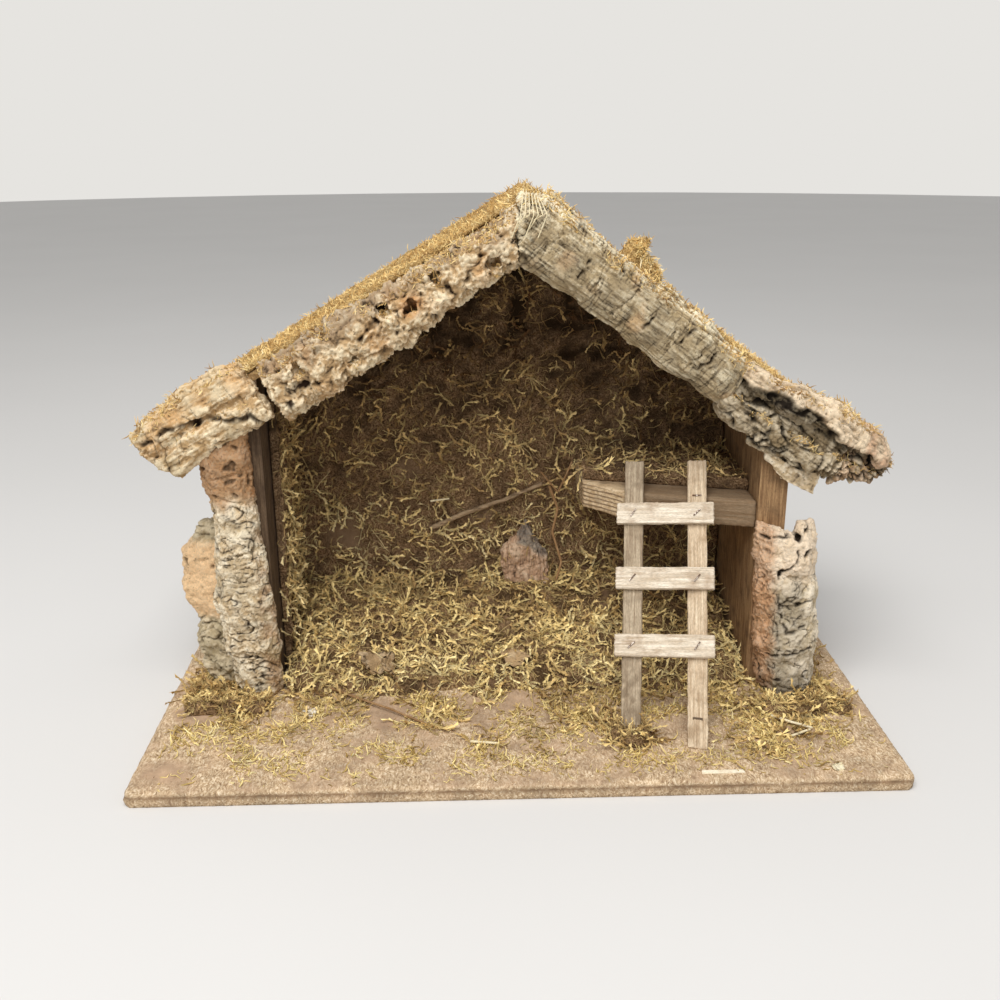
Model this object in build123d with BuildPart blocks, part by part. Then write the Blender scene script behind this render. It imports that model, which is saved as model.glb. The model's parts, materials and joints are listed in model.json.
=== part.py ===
"""A nativity stable: a fibreboard carcase dressed with cork bark and moss, with a loft and a ladder."""
from build123d import *
from math import cos, radians, sin, tan
import os

os.makedirs("parts", exist_ok=True)

# Base board
base_width = 450
base_depth = 240
base_thickness = 9
base_corner = 5

# Carcase
yard_depth = 120
inner_width = 310
wall_thickness = 18
wall_depth = 104
back_thickness = 6

# Roof
ridge_height = 322
ridge_shift = 10
left_pitch = 31
right_pitch = 36.5
roof_panel_length = 265
roof_panel_thickness = 5
roof_back_overhang = 4

# Loft board
loft_height = 134
loft_thickness = 18
loft_length = 110
loft_skew = 14.7
loft_setback = 2
loft_corner_cut = 25

# Ladder
rail_width = 12
rail_thickness = 5
rail_spacing = 40
rail_above_loft = 22
ladder_lean = 36.4
ladder_tilt = 4.5
ladder_from_wall = 58
rung_length = 61
rung_height = 14
rung_thickness = 4
rung_below_loft = 14.5
rung_pitch = 42.5
rung_count = 3

# Staples and nails
staple_crown = 5.8
staple_wire = 0.8
staple_slant = 50
staple_spread = 6
rung_staple_leg = 7
fixing_staple_leg = 14
loft_staple_drop = 2
foot_staple_rise = 10
nail_sides = 8
nail_shank = 1.8
nail_head = 4
nail_head_thickness = 1.2
nail_length = 30
roof_nail_length = 18
roof_nail_inset = 5
nail_end_margin = 20
roof_nail_margin = 30

# Bark
gable_bark_length = 190
gable_bark_width = 36
gable_bark_depth = 17
gable_bark_gap = 8
gable_pit_width = 5
gable_pit_floor = 8
gable_pit_sides = 7
gable_pit_flare = -12
left_eave_bark_length = 78
left_eave_bark_width = 42
left_eave_bark_depth = 18
right_gable_bark_length = 165
right_gable_bark_width = 38
right_gable_bark_depth = 16
right_eave_bark_length = 112
right_eave_bark_width = 44
right_eave_bark_depth = 19
bark_ridge_joint = 8
left_post_drop = 27
left_post_width = 36
left_post_depth = 13
right_post_drop = 86
right_post_width = 40
right_post_depth = 20
right_post_notch = 9
side_bark_drop = 84
side_bark_width = 44
side_bark_depth = 40
lump_pitch = 11
lump_share = 0.05
lump_turn = 140
fissure_pitch = 24
fissure_width = 2.4
fissure_depth = 4
fissure_tilt = 14
bark_clearance = 0.3
flake_start = 28
flake_length = 56
flake_top = -30
flake_hang = 14
flake_thickness = 4
flake_inset = 5

# Moss
moss_sides = 10
moss_shoulder = 4
roof_moss_thickness = 4
wall_moss_thickness = 6
side_moss_thickness = 5
side_moss_inset = 24
mound_height = 38
mound_reach = 27
mound_curve = 1.3
mound_steps = 6
mound_rim = 1.5
loft_moss_thickness = 8
loft_moss_setback = 21
tuft_radius = 17
tuft_height = 22
tuft_shoulder = 10
tuft_from_ridge = 78
tuft_from_front = 22
foot_moss_length = 58
foot_moss_depth = 20
foot_moss_height = 6
foot_moss_gap = 0.5
ladder_moss_radius = 13
ladder_moss_height = 8

# Twig, chip and splinter
twig_sides = 6
twig_length = 88
twig_thick_end = 4.4
twig_thin_end = 3
twig_height = 84
twig_offset = -57
twig_rise = 21
twig_bend = 2
chip_offset = 9
chip_rise = 28
chip_bevel = 4
chip_width = 37
chip_height = 53
chip_thickness = 12
splinter_length = 25
splinter_width = 3
splinter_thickness = 1
splinter_end_angle = 80
splinter_offset = 115
splinter_from_edge = 9

# Places worked out from the sizes above
front_edge = -base_depth / 2
house_front = front_edge + yard_depth
wall_back = house_front + wall_depth
house_back = wall_back + back_thickness
moss_back = wall_back - wall_moss_thickness
inner_half = inner_width / 2
outer_half = inner_half + wall_thickness
LEFT = -1
RIGHT = 1
PITCH = {LEFT: left_pitch, RIGHT: right_pitch}
FORWARD = Vector(0, -1, 0)

# Outlines across a bark slab, as shares of its width and depth
ROUNDED_BARK = ((0, 0.45), (0.18, 0.92), (0.5, 1), (0.8, 0.9), (1, 0.4))
SPLIT_BARK = ((0, 0.35), (0.12, 0.8), (0.38, 0.9), (0.5, 0.7), (0.58, 0.95), (0.85, 0.8), (1, 0.35))
PLATED_BARK = (
    (0, 0.4),
    (0.1, 0.7),
    (0.34, 0.8),
    (0.4, 0.58),
    (0.62, 0.66),
    (0.68, 0.98),
    (0.9, 0.85),
    (1, 0.4),
)

# Deep hollows in the left gable bark, as shares of its length and width
GABLE_PITS = ((0.19, -0.53), (0.37, -0.25), (0.48, -0.44), (0.56, -0.22), (0.72, -0.67), (0.88, -0.33))


def roof_point(side, along, above):
    """x and z of a point by its distance down the slope and its height square to the slope."""
    pitch = radians(PITCH[side])
    x = ridge_shift + side * (along * cos(pitch) + above * sin(pitch))
    z = ridge_height - along * sin(pitch) + above * cos(pitch)
    return x, z


def roof_underside(x):
    """Height of the roof's underside over x."""
    pitch = radians(PITCH[LEFT if x < ridge_shift else RIGHT])
    return ridge_height - abs(x - ridge_shift) * tan(pitch) - roof_panel_thickness / cos(pitch)


# Bark heights, which follow the roof
left_post_height = roof_underside(-inner_half) - left_post_drop - base_thickness
right_post_height = roof_underside(inner_half) - right_post_drop - base_thickness
side_bark_height = roof_underside(-outer_half) - side_bark_drop - base_thickness


def profile_plane(y):
    """A plane across the house at y, facing the front, whose sketches read as x and z."""
    return Plane(origin=(0, y, 0), x_dir=(1, 0, 0), z_dir=FORWARD)


def slope_plane(side, along):
    """A bark section across the roof slope: local x square to the slope, local y to the front."""
    pitch = radians(PITCH[side])
    x, z = roof_point(side, along, 0)
    square = Vector(side * sin(pitch), 0, cos(pitch))
    return Plane(origin=(x, house_front, z), x_dir=square, z_dir=square.cross(FORWARD))


def station_at(stations, share):
    """Low edge, high edge and depth at a share of the length, between two stations."""
    after = next(i for i, station in enumerate(stations) if station[0] >= share and i > 0)
    before = stations[after - 1]
    mix = (share - before[0]) / (stations[after][0] - before[0])
    return [near + mix * (far - near) for near, far in zip(before[1:], stations[after][1:])]


def bark_slab(place, size, outline, stations, fissured=True):
    """A bark slab lofted through lumpy sections, with cross fissures where it has them.

    A station is a share of the length, the low and high edges as shares of the width,
    and a share of the depth.
    """
    length, width, depth = size
    first = stations[0][0]
    last = stations[-1][0]
    steps = round((last - first) * length / lump_pitch)
    with BuildPart() as slab:
        for step in range(steps + 1):
            share = min(first + (last - first) * step / steps, last)
            low, high, thick = station_at(stations, share)
            swell = 1 + lump_share * sin(radians(lump_turn * step))
            middle = width * (low + high) / 2
            spread = width * (high - low) * swell
            points = [
                (middle + (across - 0.5) * spread, out * depth * thick * swell) for across, out in outline
            ]
            with BuildSketch(place(share * length)):
                with BuildLine():
                    Polyline((points[0][0], 0), *points, (points[-1][0], 0), close=True)
                make_face()
        loft(ruled=True)
        fissures = int(length / fissure_pitch) if fissured else 0
        for number in range(1, fissures):
            share = number / fissures
            surface = depth * station_at(stations, share)[2]
            section = place(share * length)
            groove = Plane(origin=section.origin, x_dir=section.z_dir, z_dir=section.x_dir)
            tilt = fissure_tilt if number % 2 else -fissure_tilt
            with BuildSketch(groove.rotated((0, tilt, 0))):
                with BuildLine():
                    Polyline(
                        (-fissure_width, -surface - fissure_depth),
                        (fissure_width, -surface - fissure_depth),
                        (0, fissure_depth - surface),
                        close=True,
                    )
                make_face()
            extrude(amount=2 * width, both=True, mode=Mode.SUBTRACT)
    return slab.part


def nail(head_at, driven, length=nail_length):
    """A flat-headed nail whose head is flush with the surface at head_at."""
    place = Plane(origin=head_at, z_dir=driven)
    with BuildPart() as one:
        with BuildSketch(place):
            RegularPolygon(nail_head / 2, nail_sides)
        extrude(amount=nail_head_thickness)
        with BuildSketch(place):
            RegularPolygon(nail_shank / 2, nail_sides)
        extrude(amount=length)
    return one.part


def staple(surface_at, crown_along, outward, leg):
    """A wire staple: crown on the surface, both legs driven in against outward."""
    place = Plane(
        origin=surface_at + outward * staple_wire,
        x_dir=crown_along,
        z_dir=crown_along.cross(outward),
    )
    half = staple_crown / 2
    with BuildPart() as one:
        with BuildSketch(place):
            with BuildLine():
                Polyline(
                    (-half, 0),
                    (half, 0),
                    (half, -leg),
                    (half - staple_wire, -leg),
                    (half - staple_wire, -staple_wire),
                    (staple_wire - half, -staple_wire),
                    (staple_wire - half, -leg),
                    (-half, -leg),
                    close=True,
                )
            make_face()
        extrude(amount=staple_wire / 2, both=True)
    return one.part


def foot_moss_pad(side, post):
    """A low moss pad on the yard, close against the front of one post."""
    middle = side * (inner_half + foot_moss_length / 2)
    ahead = post.part.bounding_box().min.Y - foot_moss_gap - foot_moss_depth / 2
    place = Plane(origin=(middle, ahead, base_thickness))
    with BuildPart() as pad:
        with BuildSketch(place):
            outline = Rectangle(foot_moss_length, foot_moss_depth)
            chamfer(outline.vertices(), foot_moss_depth / 3)
        extrude(amount=foot_moss_height)
        chamfer(pad.faces().sort_by(Axis.Z)[-1].edges(), moss_shoulder)
    return pad.part


# Where the loft's front edge and the ladder lie
edge_along = Vector(cos(radians(loft_skew)), -sin(radians(loft_skew)), 0)
edge_back = Vector(sin(radians(loft_skew)), cos(radians(loft_skew)), 0)
loft_right = Vector(inner_half, house_front + loft_setback, loft_height)
loft_left = loft_right - edge_along * loft_length
loft_corner = loft_left + edge_along * loft_corner_cut
lean_up = edge_back * sin(radians(ladder_lean)) + Vector(0, 0, 1) * cos(radians(ladder_lean))
ladder_face = edge_along.cross(lean_up)
rail_up = lean_up * cos(radians(ladder_tilt)) - edge_along * sin(radians(ladder_tilt))
rung_along = edge_along * cos(radians(ladder_tilt)) + lean_up * sin(radians(ladder_tilt))
ladder_head = loft_right - edge_along * ladder_from_wall
ladder_place = Plane(origin=ladder_head, x_dir=rung_along, z_dir=ladder_face)
rail_below_loft = (loft_height + rail_width) / cos(radians(ladder_lean + ladder_tilt))


def on_ladder(across, up, out):
    """A point by its place across the ladder, up its rails and out from their backs."""
    return ladder_head + rung_along * across + rail_up * up + ladder_face * out


def rung_up(number):
    """Where a rung's middle lies along the rails, counted from the loft's edge."""
    return -rung_below_loft - number * rung_pitch


# Fasteners, which the boards are then drilled for
with BuildPart() as wall_nails:
    for x in (-inner_half - wall_thickness / 2, inner_half + wall_thickness / 2):
        for y in (house_front + nail_end_margin, wall_back - nail_end_margin):
            add(nail((x, y, 0), (0, 0, 1)))
wall_nails.part.label = "wall_nails"
export_step(wall_nails.part, "parts/wall_nails.step")

with BuildPart() as back_nails:
    for x in (-inner_half - wall_thickness / 2, inner_half + wall_thickness / 2):
        top = roof_underside(x) - nail_end_margin
        bottom = base_thickness + 2 * nail_end_margin
        for z in (bottom, (bottom + top) / 2, top):
            add(nail((x, house_back, z), FORWARD))
back_nails.part.label = "back_nails"
export_step(back_nails.part, "parts/back_nails.step")

with BuildPart() as roof_nails:
    for side in (LEFT, RIGHT):
        pitch = radians(PITCH[side])
        along = (outer_half - roof_nail_inset - side * ridge_shift) / cos(pitch)
        x, z = roof_point(side, along, 0)
        for y in (house_front + roof_nail_margin, wall_back - roof_nail_margin):
            add(nail((x, y, z), (-side * sin(pitch), 0, -cos(pitch)), roof_nail_length))
roof_nails.part.label = "roof_nails"
export_step(roof_nails.part, "parts/roof_nails.step")

with BuildPart() as loft_nails:
    for y in (loft_right.Y + nail_end_margin, wall_back - nail_end_margin):
        add(nail((outer_half, y, loft_height - loft_thickness / 2), (-1, 0, 0)))
loft_nails.part.label = "loft_nails"
export_step(loft_nails.part, "parts/loft_nails.step")

with BuildPart() as rung_staples:
    for number in range(rung_count):
        for side in (LEFT, RIGHT):
            slant = radians(staple_slant + staple_spread * side * (number - 1))
            crown = rung_along * cos(slant) + rail_up * sin(slant)
            seat = on_ladder(side * rail_spacing / 2, rung_up(number), rail_thickness + rung_thickness)
            add(staple(seat, crown, ladder_face, rung_staple_leg))
rung_staples.part.label = "rung_staples"
export_step(rung_staples.part, "parts/rung_staples.step")

foot_up = -(loft_height - base_thickness - foot_staple_rise) / cos(radians(ladder_lean))
loft_hold = on_ladder(rail_spacing / 2, -loft_staple_drop, rail_thickness)
foot_hold = on_ladder(rail_spacing / 2, foot_up, rail_thickness)
with BuildPart() as ladder_fixing_staples:
    add(staple(loft_hold, rung_along, ladder_face, fixing_staple_leg))
    add(staple(foot_hold, edge_along, Vector(0, 0, 1), fixing_staple_leg))
ladder_fixing_staples.part.label = "ladder_fixing_staples"
export_step(ladder_fixing_staples.part, "parts/ladder_fixing_staples.step")

# Boards
with BuildPart() as base_board:
    with BuildSketch():
        RectangleRounded(base_width, base_depth, base_corner)
    extrude(amount=base_thickness)
    add(wall_nails.part, mode=Mode.SUBTRACT)
    add(ladder_fixing_staples.part, mode=Mode.SUBTRACT)
base_board.part.label = "base_board"
export_step(base_board.part, "parts/base_board.step")

with BuildPart() as left_wall:
    with BuildSketch(profile_plane(house_front)):
        with BuildLine():
            Polyline(
                (-outer_half, base_thickness),
                (-inner_half, base_thickness),
                (-inner_half, roof_underside(-inner_half)),
                (-outer_half, roof_underside(-outer_half)),
                close=True,
            )
        make_face()
    extrude(amount=-wall_depth)
    add(wall_nails.part, mode=Mode.SUBTRACT)
    add(back_nails.part, mode=Mode.SUBTRACT)
    add(roof_nails.part, mode=Mode.SUBTRACT)
left_wall.part.label = "left_wall"
export_step(left_wall.part, "parts/left_wall.step")

with BuildPart() as right_wall:
    with BuildSketch(profile_plane(house_front)):
        with BuildLine():
            Polyline(
                (inner_half, base_thickness),
                (outer_half, base_thickness),
                (outer_half, roof_underside(outer_half)),
                (inner_half, roof_underside(inner_half)),
                close=True,
            )
        make_face()
    extrude(amount=-wall_depth)
    for fasteners in (wall_nails, back_nails, roof_nails, loft_nails):
        add(fasteners.part, mode=Mode.SUBTRACT)
right_wall.part.label = "right_wall"
export_step(right_wall.part, "parts/right_wall.step")

with BuildPart() as back_panel:
    with BuildSketch(profile_plane(wall_back)):
        with BuildLine():
            Polyline(
                (-outer_half, base_thickness),
                (outer_half, base_thickness),
                (outer_half, roof_underside(outer_half)),
                (ridge_shift, roof_underside(ridge_shift)),
                (-outer_half, roof_underside(-outer_half)),
                close=True,
            )
        make_face()
    extrude(amount=-back_thickness)
    add(back_nails.part, mode=Mode.SUBTRACT)
back_panel.part.label = "back_panel"
export_step(back_panel.part, "parts/back_panel.step")


def roof_panel(side):
    """One roof panel, plumb cut at the ridge and square cut at the eave."""
    pitch = radians(PITCH[side])
    with BuildPart() as panel:
        with BuildSketch(profile_plane(house_front)):
            with BuildLine():
                Polyline(
                    (ridge_shift, ridge_height),
                    roof_point(side, roof_panel_length, 0),
                    roof_point(side, roof_panel_length, -roof_panel_thickness),
                    (ridge_shift, ridge_height - roof_panel_thickness / cos(pitch)),
                    close=True,
                )
            make_face()
        extrude(amount=house_front - house_back - roof_back_overhang)
        add(roof_nails.part, mode=Mode.SUBTRACT)
    return panel.part


with BuildPart() as left_roof_panel:
    add(roof_panel(LEFT))
left_roof_panel.part.label = "left_roof_panel"
export_step(left_roof_panel.part, "parts/left_roof_panel.step")

with BuildPart() as right_roof_panel:
    add(roof_panel(RIGHT))
right_roof_panel.part.label = "right_roof_panel"
export_step(right_roof_panel.part, "parts/right_roof_panel.step")

with BuildPart() as loft_board:
    with BuildSketch(Plane.XY.offset(loft_height - loft_thickness)):
        with BuildLine():
            Polyline(
                (loft_right.X, loft_right.Y),
                (inner_half, wall_back),
                (loft_left.X, wall_back),
                (loft_left.X, loft_corner.Y + loft_corner_cut),
                (loft_corner.X, loft_corner.Y),
                close=True,
            )
        make_face()
    extrude(amount=loft_thickness)
    add(loft_nails.part, mode=Mode.SUBTRACT)
    add(ladder_fixing_staples.part, mode=Mode.SUBTRACT)
loft_board.part.label = "loft_board"
export_step(loft_board.part, "parts/loft_board.step")


# Ladder
def ladder_rail(side):
    """One rail, resting on the loft's edge and cut level where it stands on the base board."""
    with BuildPart() as rail:
        with BuildSketch(ladder_place):
            with Locations((side * rail_spacing / 2, (rail_above_loft - rail_below_loft) / 2)):
                Rectangle(rail_width, rail_above_loft + rail_below_loft)
        extrude(amount=rail_thickness)
        split(bisect_by=Plane.XY.offset(base_thickness), keep=Keep.TOP)
        add(rung_staples.part, mode=Mode.SUBTRACT)
        add(ladder_fixing_staples.part, mode=Mode.SUBTRACT)
    return rail.part


with BuildPart() as ladder_left_rail:
    add(ladder_rail(LEFT))
ladder_left_rail.part.label = "ladder_left_rail"
export_step(ladder_left_rail.part, "parts/ladder_left_rail.step")

with BuildPart() as ladder_right_rail:
    add(ladder_rail(RIGHT))
ladder_right_rail.part.label = "ladder_right_rail"
export_step(ladder_right_rail.part, "parts/ladder_right_rail.step")

for number, name in enumerate(("ladder_top_rung", "ladder_middle_rung", "ladder_bottom_rung")):
    with BuildPart() as rung:
        with BuildSketch(ladder_place.offset(rail_thickness)):
            with Locations((0, rung_up(number))):
                Rectangle(rung_length, rung_height)
        extrude(amount=rung_thickness)
        add(rung_staples.part, mode=Mode.SUBTRACT)
    rung.part.label = name
    export_step(rung.part, f"parts/{name}.step")


# Bark
def left_gable_place(along):
    return slope_plane(LEFT, along)


with BuildPart() as left_gable_bark:
    add(
        bark_slab(
            left_gable_place,
            (gable_bark_length, gable_bark_width, gable_bark_depth),
            ROUNDED_BARK,
            [
                (-0.1, -0.82, -0.05, 0.88),
                (0.15, -0.84, -0.02, 1),
                (0.3, -0.8, 0, 1.12),
                (0.42, -0.86, -0.02, 0.94),
                (0.55, -0.94, 0.04, 1.12),
                (0.7, -0.94, 0.08, 1),
                (0.85, -1, 0.06, 1.12),
                (1, -0.98, 0.02, 0.88),
            ],
            fissured=False,
        )
    )
    for share, across in GABLE_PITS:
        x, z = roof_point(LEFT, share * gable_bark_length, across * gable_bark_width)
        with BuildSketch(profile_plane(house_front - gable_pit_floor)):
            with Locations((x, z)):
                RegularPolygon(gable_pit_width / 2, gable_pit_sides)
        extrude(amount=gable_bark_depth, taper=gable_pit_flare, mode=Mode.SUBTRACT)
    split(
        bisect_by=Plane(origin=(ridge_shift - bark_ridge_joint, 0, 0), z_dir=(-1, 0, 0)),
        keep=Keep.TOP,
    )
left_gable_bark.part.label = "left_gable_bark"
export_step(left_gable_bark.part, "parts/left_gable_bark.step")


def left_eave_place(along):
    return slope_plane(LEFT, gable_bark_length + gable_bark_gap + along)


with BuildPart() as left_eave_bark:
    add(
        bark_slab(
            left_eave_place,
            (left_eave_bark_length, left_eave_bark_width, left_eave_bark_depth),
            SPLIT_BARK,
            [
                (0, -0.69, 0.21, 0.83),
                (0.25, -0.69, 0.36, 1.1),
                (0.45, -0.67, 0.33, 0.94),
                (0.65, -0.67, 0.31, 1.1),
                (0.88, -0.73, 0.24, 0.94),
                (0.97, -0.72, 0.2, 0.85),
                (1.05, -0.24, 0.14, 0.55),
            ],
            fissured=False,
        )
    )
left_eave_bark.part.label = "left_eave_bark"
export_step(left_eave_bark.part, "parts/left_eave_bark.step")


def right_gable_place(along):
    return slope_plane(RIGHT, along)


with BuildPart() as right_gable_bark:
    add(
        bark_slab(
            right_gable_place,
            (right_gable_bark_length, right_gable_bark_width, right_gable_bark_depth),
            ROUNDED_BARK,
            [
                (-0.16, -0.95, -0.7, 0.8),
                (-0.09, -0.95, -0.45, 0.86),
                (-0.02, -0.95, 0.04, 0.95),
                (0.05, -0.95, 0.22, 1),
                (0.12, -0.93, 0.23, 1.03),
                (0.25, -0.84, 0.14, 1.06),
                (0.5, -0.85, 0.11, 0.94),
                (0.7, -0.85, 0.16, 1.06),
                (0.85, -0.83, 0.08, 1),
                (1, -0.8, 0, 0.94),
            ],
        )
    )
    split(
        bisect_by=Plane(origin=(ridge_shift - bark_ridge_joint + bark_clearance, 0, 0), z_dir=(1, 0, 0)),
        keep=Keep.TOP,
    )
right_gable_bark.part.label = "right_gable_bark"
export_step(right_gable_bark.part, "parts/right_gable_bark.step")


def right_eave_place(along):
    return slope_plane(RIGHT, right_gable_bark_length + bark_clearance + along)


with BuildPart() as right_eave_bark:
    add(
        bark_slab(
            right_eave_place,
            (right_eave_bark_length, right_eave_bark_width, right_eave_bark_depth),
            PLATED_BARK,
            [
                (0, -0.73, -0.02, 0.84),
                (0.15, -0.8, 0, 0.95),
                (0.35, -0.82, 0.14, 1.05),
                (0.5, -0.8, 0.25, 1),
                (0.65, -0.7, 0.26, 1.05),
                (0.8, -0.55, 0.28, 0.95),
                (0.92, -0.34, 0.17, 0.84),
                (1, -0.18, 0.02, 0.53),
            ],
        )
    )
right_eave_bark.part.label = "right_eave_bark"
export_step(right_eave_bark.part, "parts/right_eave_bark.step")

with BuildPart() as right_eave_flake:
    with BuildSketch(profile_plane(house_front - flake_inset)):
        with BuildLine():
            Polyline(
                *[
                    roof_point(
                        RIGHT,
                        right_gable_bark_length + flake_start + along * flake_length,
                        flake_top - hang * flake_hang,
                    )
                    for along, hang in ((0, 0), (0.29, 0.64), (0.61, 1), (1, 0.71), (0.89, -0.43))
                ],
                close=True,
            )
        make_face()
    extrude(amount=flake_thickness)
    add(right_eave_bark.part, mode=Mode.SUBTRACT)
right_eave_flake.part.label = "right_eave_flake"
export_step(right_eave_flake.part, "parts/right_eave_flake.step")


def post_place(side):
    """Places up a post's front, with local x outwards from the wall's inner face."""

    def place(up):
        outward = Vector(side, 0, 0)
        return Plane(
            origin=(side * inner_half, house_front, base_thickness + up),
            x_dir=outward,
            z_dir=outward.cross(FORWARD),
        )

    return place


with BuildPart() as left_post_bark:
    add(
        bark_slab(
            post_place(LEFT),
            (left_post_height, left_post_width, left_post_depth),
            ROUNDED_BARK,
            [
                (0, -0.08, 0.67, 0.85),
                (0.16, -0.07, 0.86, 1),
                (0.36, 0, 1, 1.08),
                (0.55, 0.08, 0.92, 1),
                (0.7, 0.17, 0.89, 0.92),
                (0.85, 0.19, 1.08, 0.92),
                (1, 0.19, 1.08, 0.85),
            ],
        )
    )
    add(left_eave_bark.part, mode=Mode.SUBTRACT)
left_post_bark.part.label = "left_post_bark"
export_step(left_post_bark.part, "parts/left_post_bark.step")

right_post_top = base_thickness + right_post_height
with BuildPart() as right_post_bark:
    add(
        bark_slab(
            post_place(RIGHT),
            (right_post_height, right_post_width, right_post_depth),
            ROUNDED_BARK,
            [
                (0, 0.18, 0.9, 1.35),
                (0.12, 0.08, 1.03, 1.5),
                (0.35, 0.04, 1.06, 1.3),
                (0.6, 0.01, 1, 1.05),
                (0.85, -0.02, 0.94, 0.9),
                (1, -0.04, 0.88, 0.75),
            ],
        )
    )
    with BuildSketch(profile_plane(house_front)):
        with BuildLine():
            Polyline(
                (inner_half, right_post_top + right_post_notch),
                (inner_half, right_post_top),
                (inner_half + 0.58 * right_post_width, right_post_top - right_post_notch),
                (inner_half + 0.68 * right_post_width, right_post_top + right_post_notch),
                close=True,
            )
        make_face()
    extrude(amount=2 * right_post_depth, mode=Mode.SUBTRACT)
right_post_bark.part.label = "right_post_bark"
export_step(right_post_bark.part, "parts/right_post_bark.step")


def side_place(up):
    """Places up the left wall's outer face, with local x to the back."""
    back = Vector(0, 1, 0)
    return Plane(
        origin=(-outer_half, house_front, base_thickness + up),
        x_dir=back,
        z_dir=back.cross(Vector(-1, 0, 0)),
    )


with BuildPart() as left_side_bark:
    add(
        bark_slab(
            side_place,
            (side_bark_height, side_bark_width, side_bark_depth),
            ROUNDED_BARK,
            [
                (0, 0.14, 1, 0.78),
                (0.2, 0.09, 1.05, 0.95),
                (0.4, 0.09, 1.05, 0.88),
                (0.5, 0.09, 1.07, 1.08),
                (0.75, 0.12, 1.05, 1.14),
                (0.86, 0.18, 1, 0.98),
                (0.9, 0.2, 0.6, 0.85),
                (1, 0.25, 0.45, 0.74),
            ],
        )
    )
left_side_bark.part.label = "left_side_bark"
export_step(left_side_bark.part, "parts/left_side_bark.step")


# Moss
def roof_moss(side):
    """A moss mat over one roof panel, from the ridge to just short of the eave."""
    pitch = radians(PITCH[side])
    with BuildPart() as mat:
        with BuildSketch(profile_plane(house_front)):
            with BuildLine():
                Polyline(
                    (ridge_shift, ridge_height),
                    roof_point(side, roof_panel_length, 0),
                    roof_point(side, roof_panel_length - roof_moss_thickness, roof_moss_thickness),
                    (ridge_shift, ridge_height + roof_moss_thickness / cos(pitch)),
                    close=True,
                )
            make_face()
        extrude(amount=house_front - house_back)
    return mat.part


with BuildPart() as left_roof_moss:
    add(roof_moss(LEFT))
    add(left_eave_bark.part, mode=Mode.SUBTRACT)
left_roof_moss.part.label = "left_roof_moss"
export_step(left_roof_moss.part, "parts/left_roof_moss.step")

with BuildPart() as right_roof_moss:
    add(roof_moss(RIGHT))
right_roof_moss.part.label = "right_roof_moss"
export_step(right_roof_moss.part, "parts/right_roof_moss.step")

tuft_x, tuft_z = roof_point(RIGHT, tuft_from_ridge, roof_moss_thickness)
tuft_up = Vector(sin(radians(right_pitch)), 0, cos(radians(right_pitch)))
tuft_seat = Plane(origin=(tuft_x, house_front + tuft_from_front, tuft_z), x_dir=(0, 1, 0), z_dir=tuft_up)
with BuildPart() as roof_tuft_moss:
    with BuildSketch(tuft_seat):
        RegularPolygon(tuft_radius, moss_sides)
    extrude(amount=tuft_height)
    tuft_top = roof_tuft_moss.faces().sort_by(Axis(tuft_seat.origin, tuft_seat.z_dir))[-1]
    chamfer(tuft_top.edges(), tuft_shoulder)
roof_tuft_moss.part.label = "roof_tuft_moss"
export_step(roof_tuft_moss.part, "parts/roof_tuft_moss.step")

with BuildPart() as back_wall_moss:
    with BuildSketch(profile_plane(moss_back)):
        with BuildLine():
            Polyline(
                (-inner_half, base_thickness),
                (inner_half, base_thickness),
                (inner_half, roof_underside(inner_half)),
                (ridge_shift, roof_underside(ridge_shift)),
                (-inner_half, roof_underside(-inner_half)),
                close=True,
            )
        make_face()
    extrude(amount=-wall_moss_thickness)
    add(loft_board.part, mode=Mode.SUBTRACT)
back_wall_moss.part.label = "back_wall_moss"
export_step(back_wall_moss.part, "parts/back_wall_moss.step")

side_moss_edge = -inner_half + side_moss_thickness
with BuildPart() as left_wall_moss:
    with BuildSketch(profile_plane(house_front + side_moss_inset)):
        with BuildLine():
            Polyline(
                (-inner_half, base_thickness),
                (side_moss_edge, base_thickness),
                (side_moss_edge, roof_underside(side_moss_edge)),
                (-inner_half, roof_underside(-inner_half)),
                close=True,
            )
        make_face()
    extrude(amount=house_front + side_moss_inset - moss_back)
left_wall_moss.part.label = "left_wall_moss"
export_step(left_wall_moss.part, "parts/left_wall_moss.step")

mound_front = house_front - mound_reach
mound_left = side_moss_edge
mound_right = inner_half - side_moss_thickness
mound_side = Plane(origin=(mound_left, 0, 0), x_dir=(0, 1, 0), z_dir=(1, 0, 0))
with BuildPart() as floor_moss:
    with BuildSketch(mound_side):
        with BuildLine():
            Polyline(
                (mound_front, base_thickness),
                (moss_back, base_thickness),
                *[
                    (
                        moss_back + (mound_front - moss_back) * step / mound_steps,
                        base_thickness + mound_rim + mound_height * (1 - step / mound_steps) ** mound_curve,
                    )
                    for step in range(mound_steps + 1)
                ],
                close=True,
            )
        make_face()
    extrude(amount=mound_right - mound_left)
floor_moss.part.label = "floor_moss"
export_step(floor_moss.part, "parts/floor_moss.step")

with BuildPart() as loft_moss:
    with BuildSketch(Plane.XY.offset(loft_height)):
        with BuildLine():
            Polyline(
                (loft_right.X, loft_right.Y + loft_moss_setback),
                (inner_half, moss_back),
                (loft_left.X, moss_back),
                (loft_left.X, loft_left.Y + loft_moss_setback),
                close=True,
            )
        make_face()
    extrude(amount=loft_moss_thickness)
loft_moss.part.label = "loft_moss"
export_step(loft_moss.part, "parts/loft_moss.step")

with BuildPart() as left_foot_moss:
    add(foot_moss_pad(LEFT, left_post_bark))
left_foot_moss.part.label = "left_foot_moss"
export_step(left_foot_moss.part, "parts/left_foot_moss.step")

with BuildPart() as right_foot_moss:
    add(foot_moss_pad(RIGHT, right_post_bark))
right_foot_moss.part.label = "right_foot_moss"
export_step(right_foot_moss.part, "parts/right_foot_moss.step")

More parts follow.
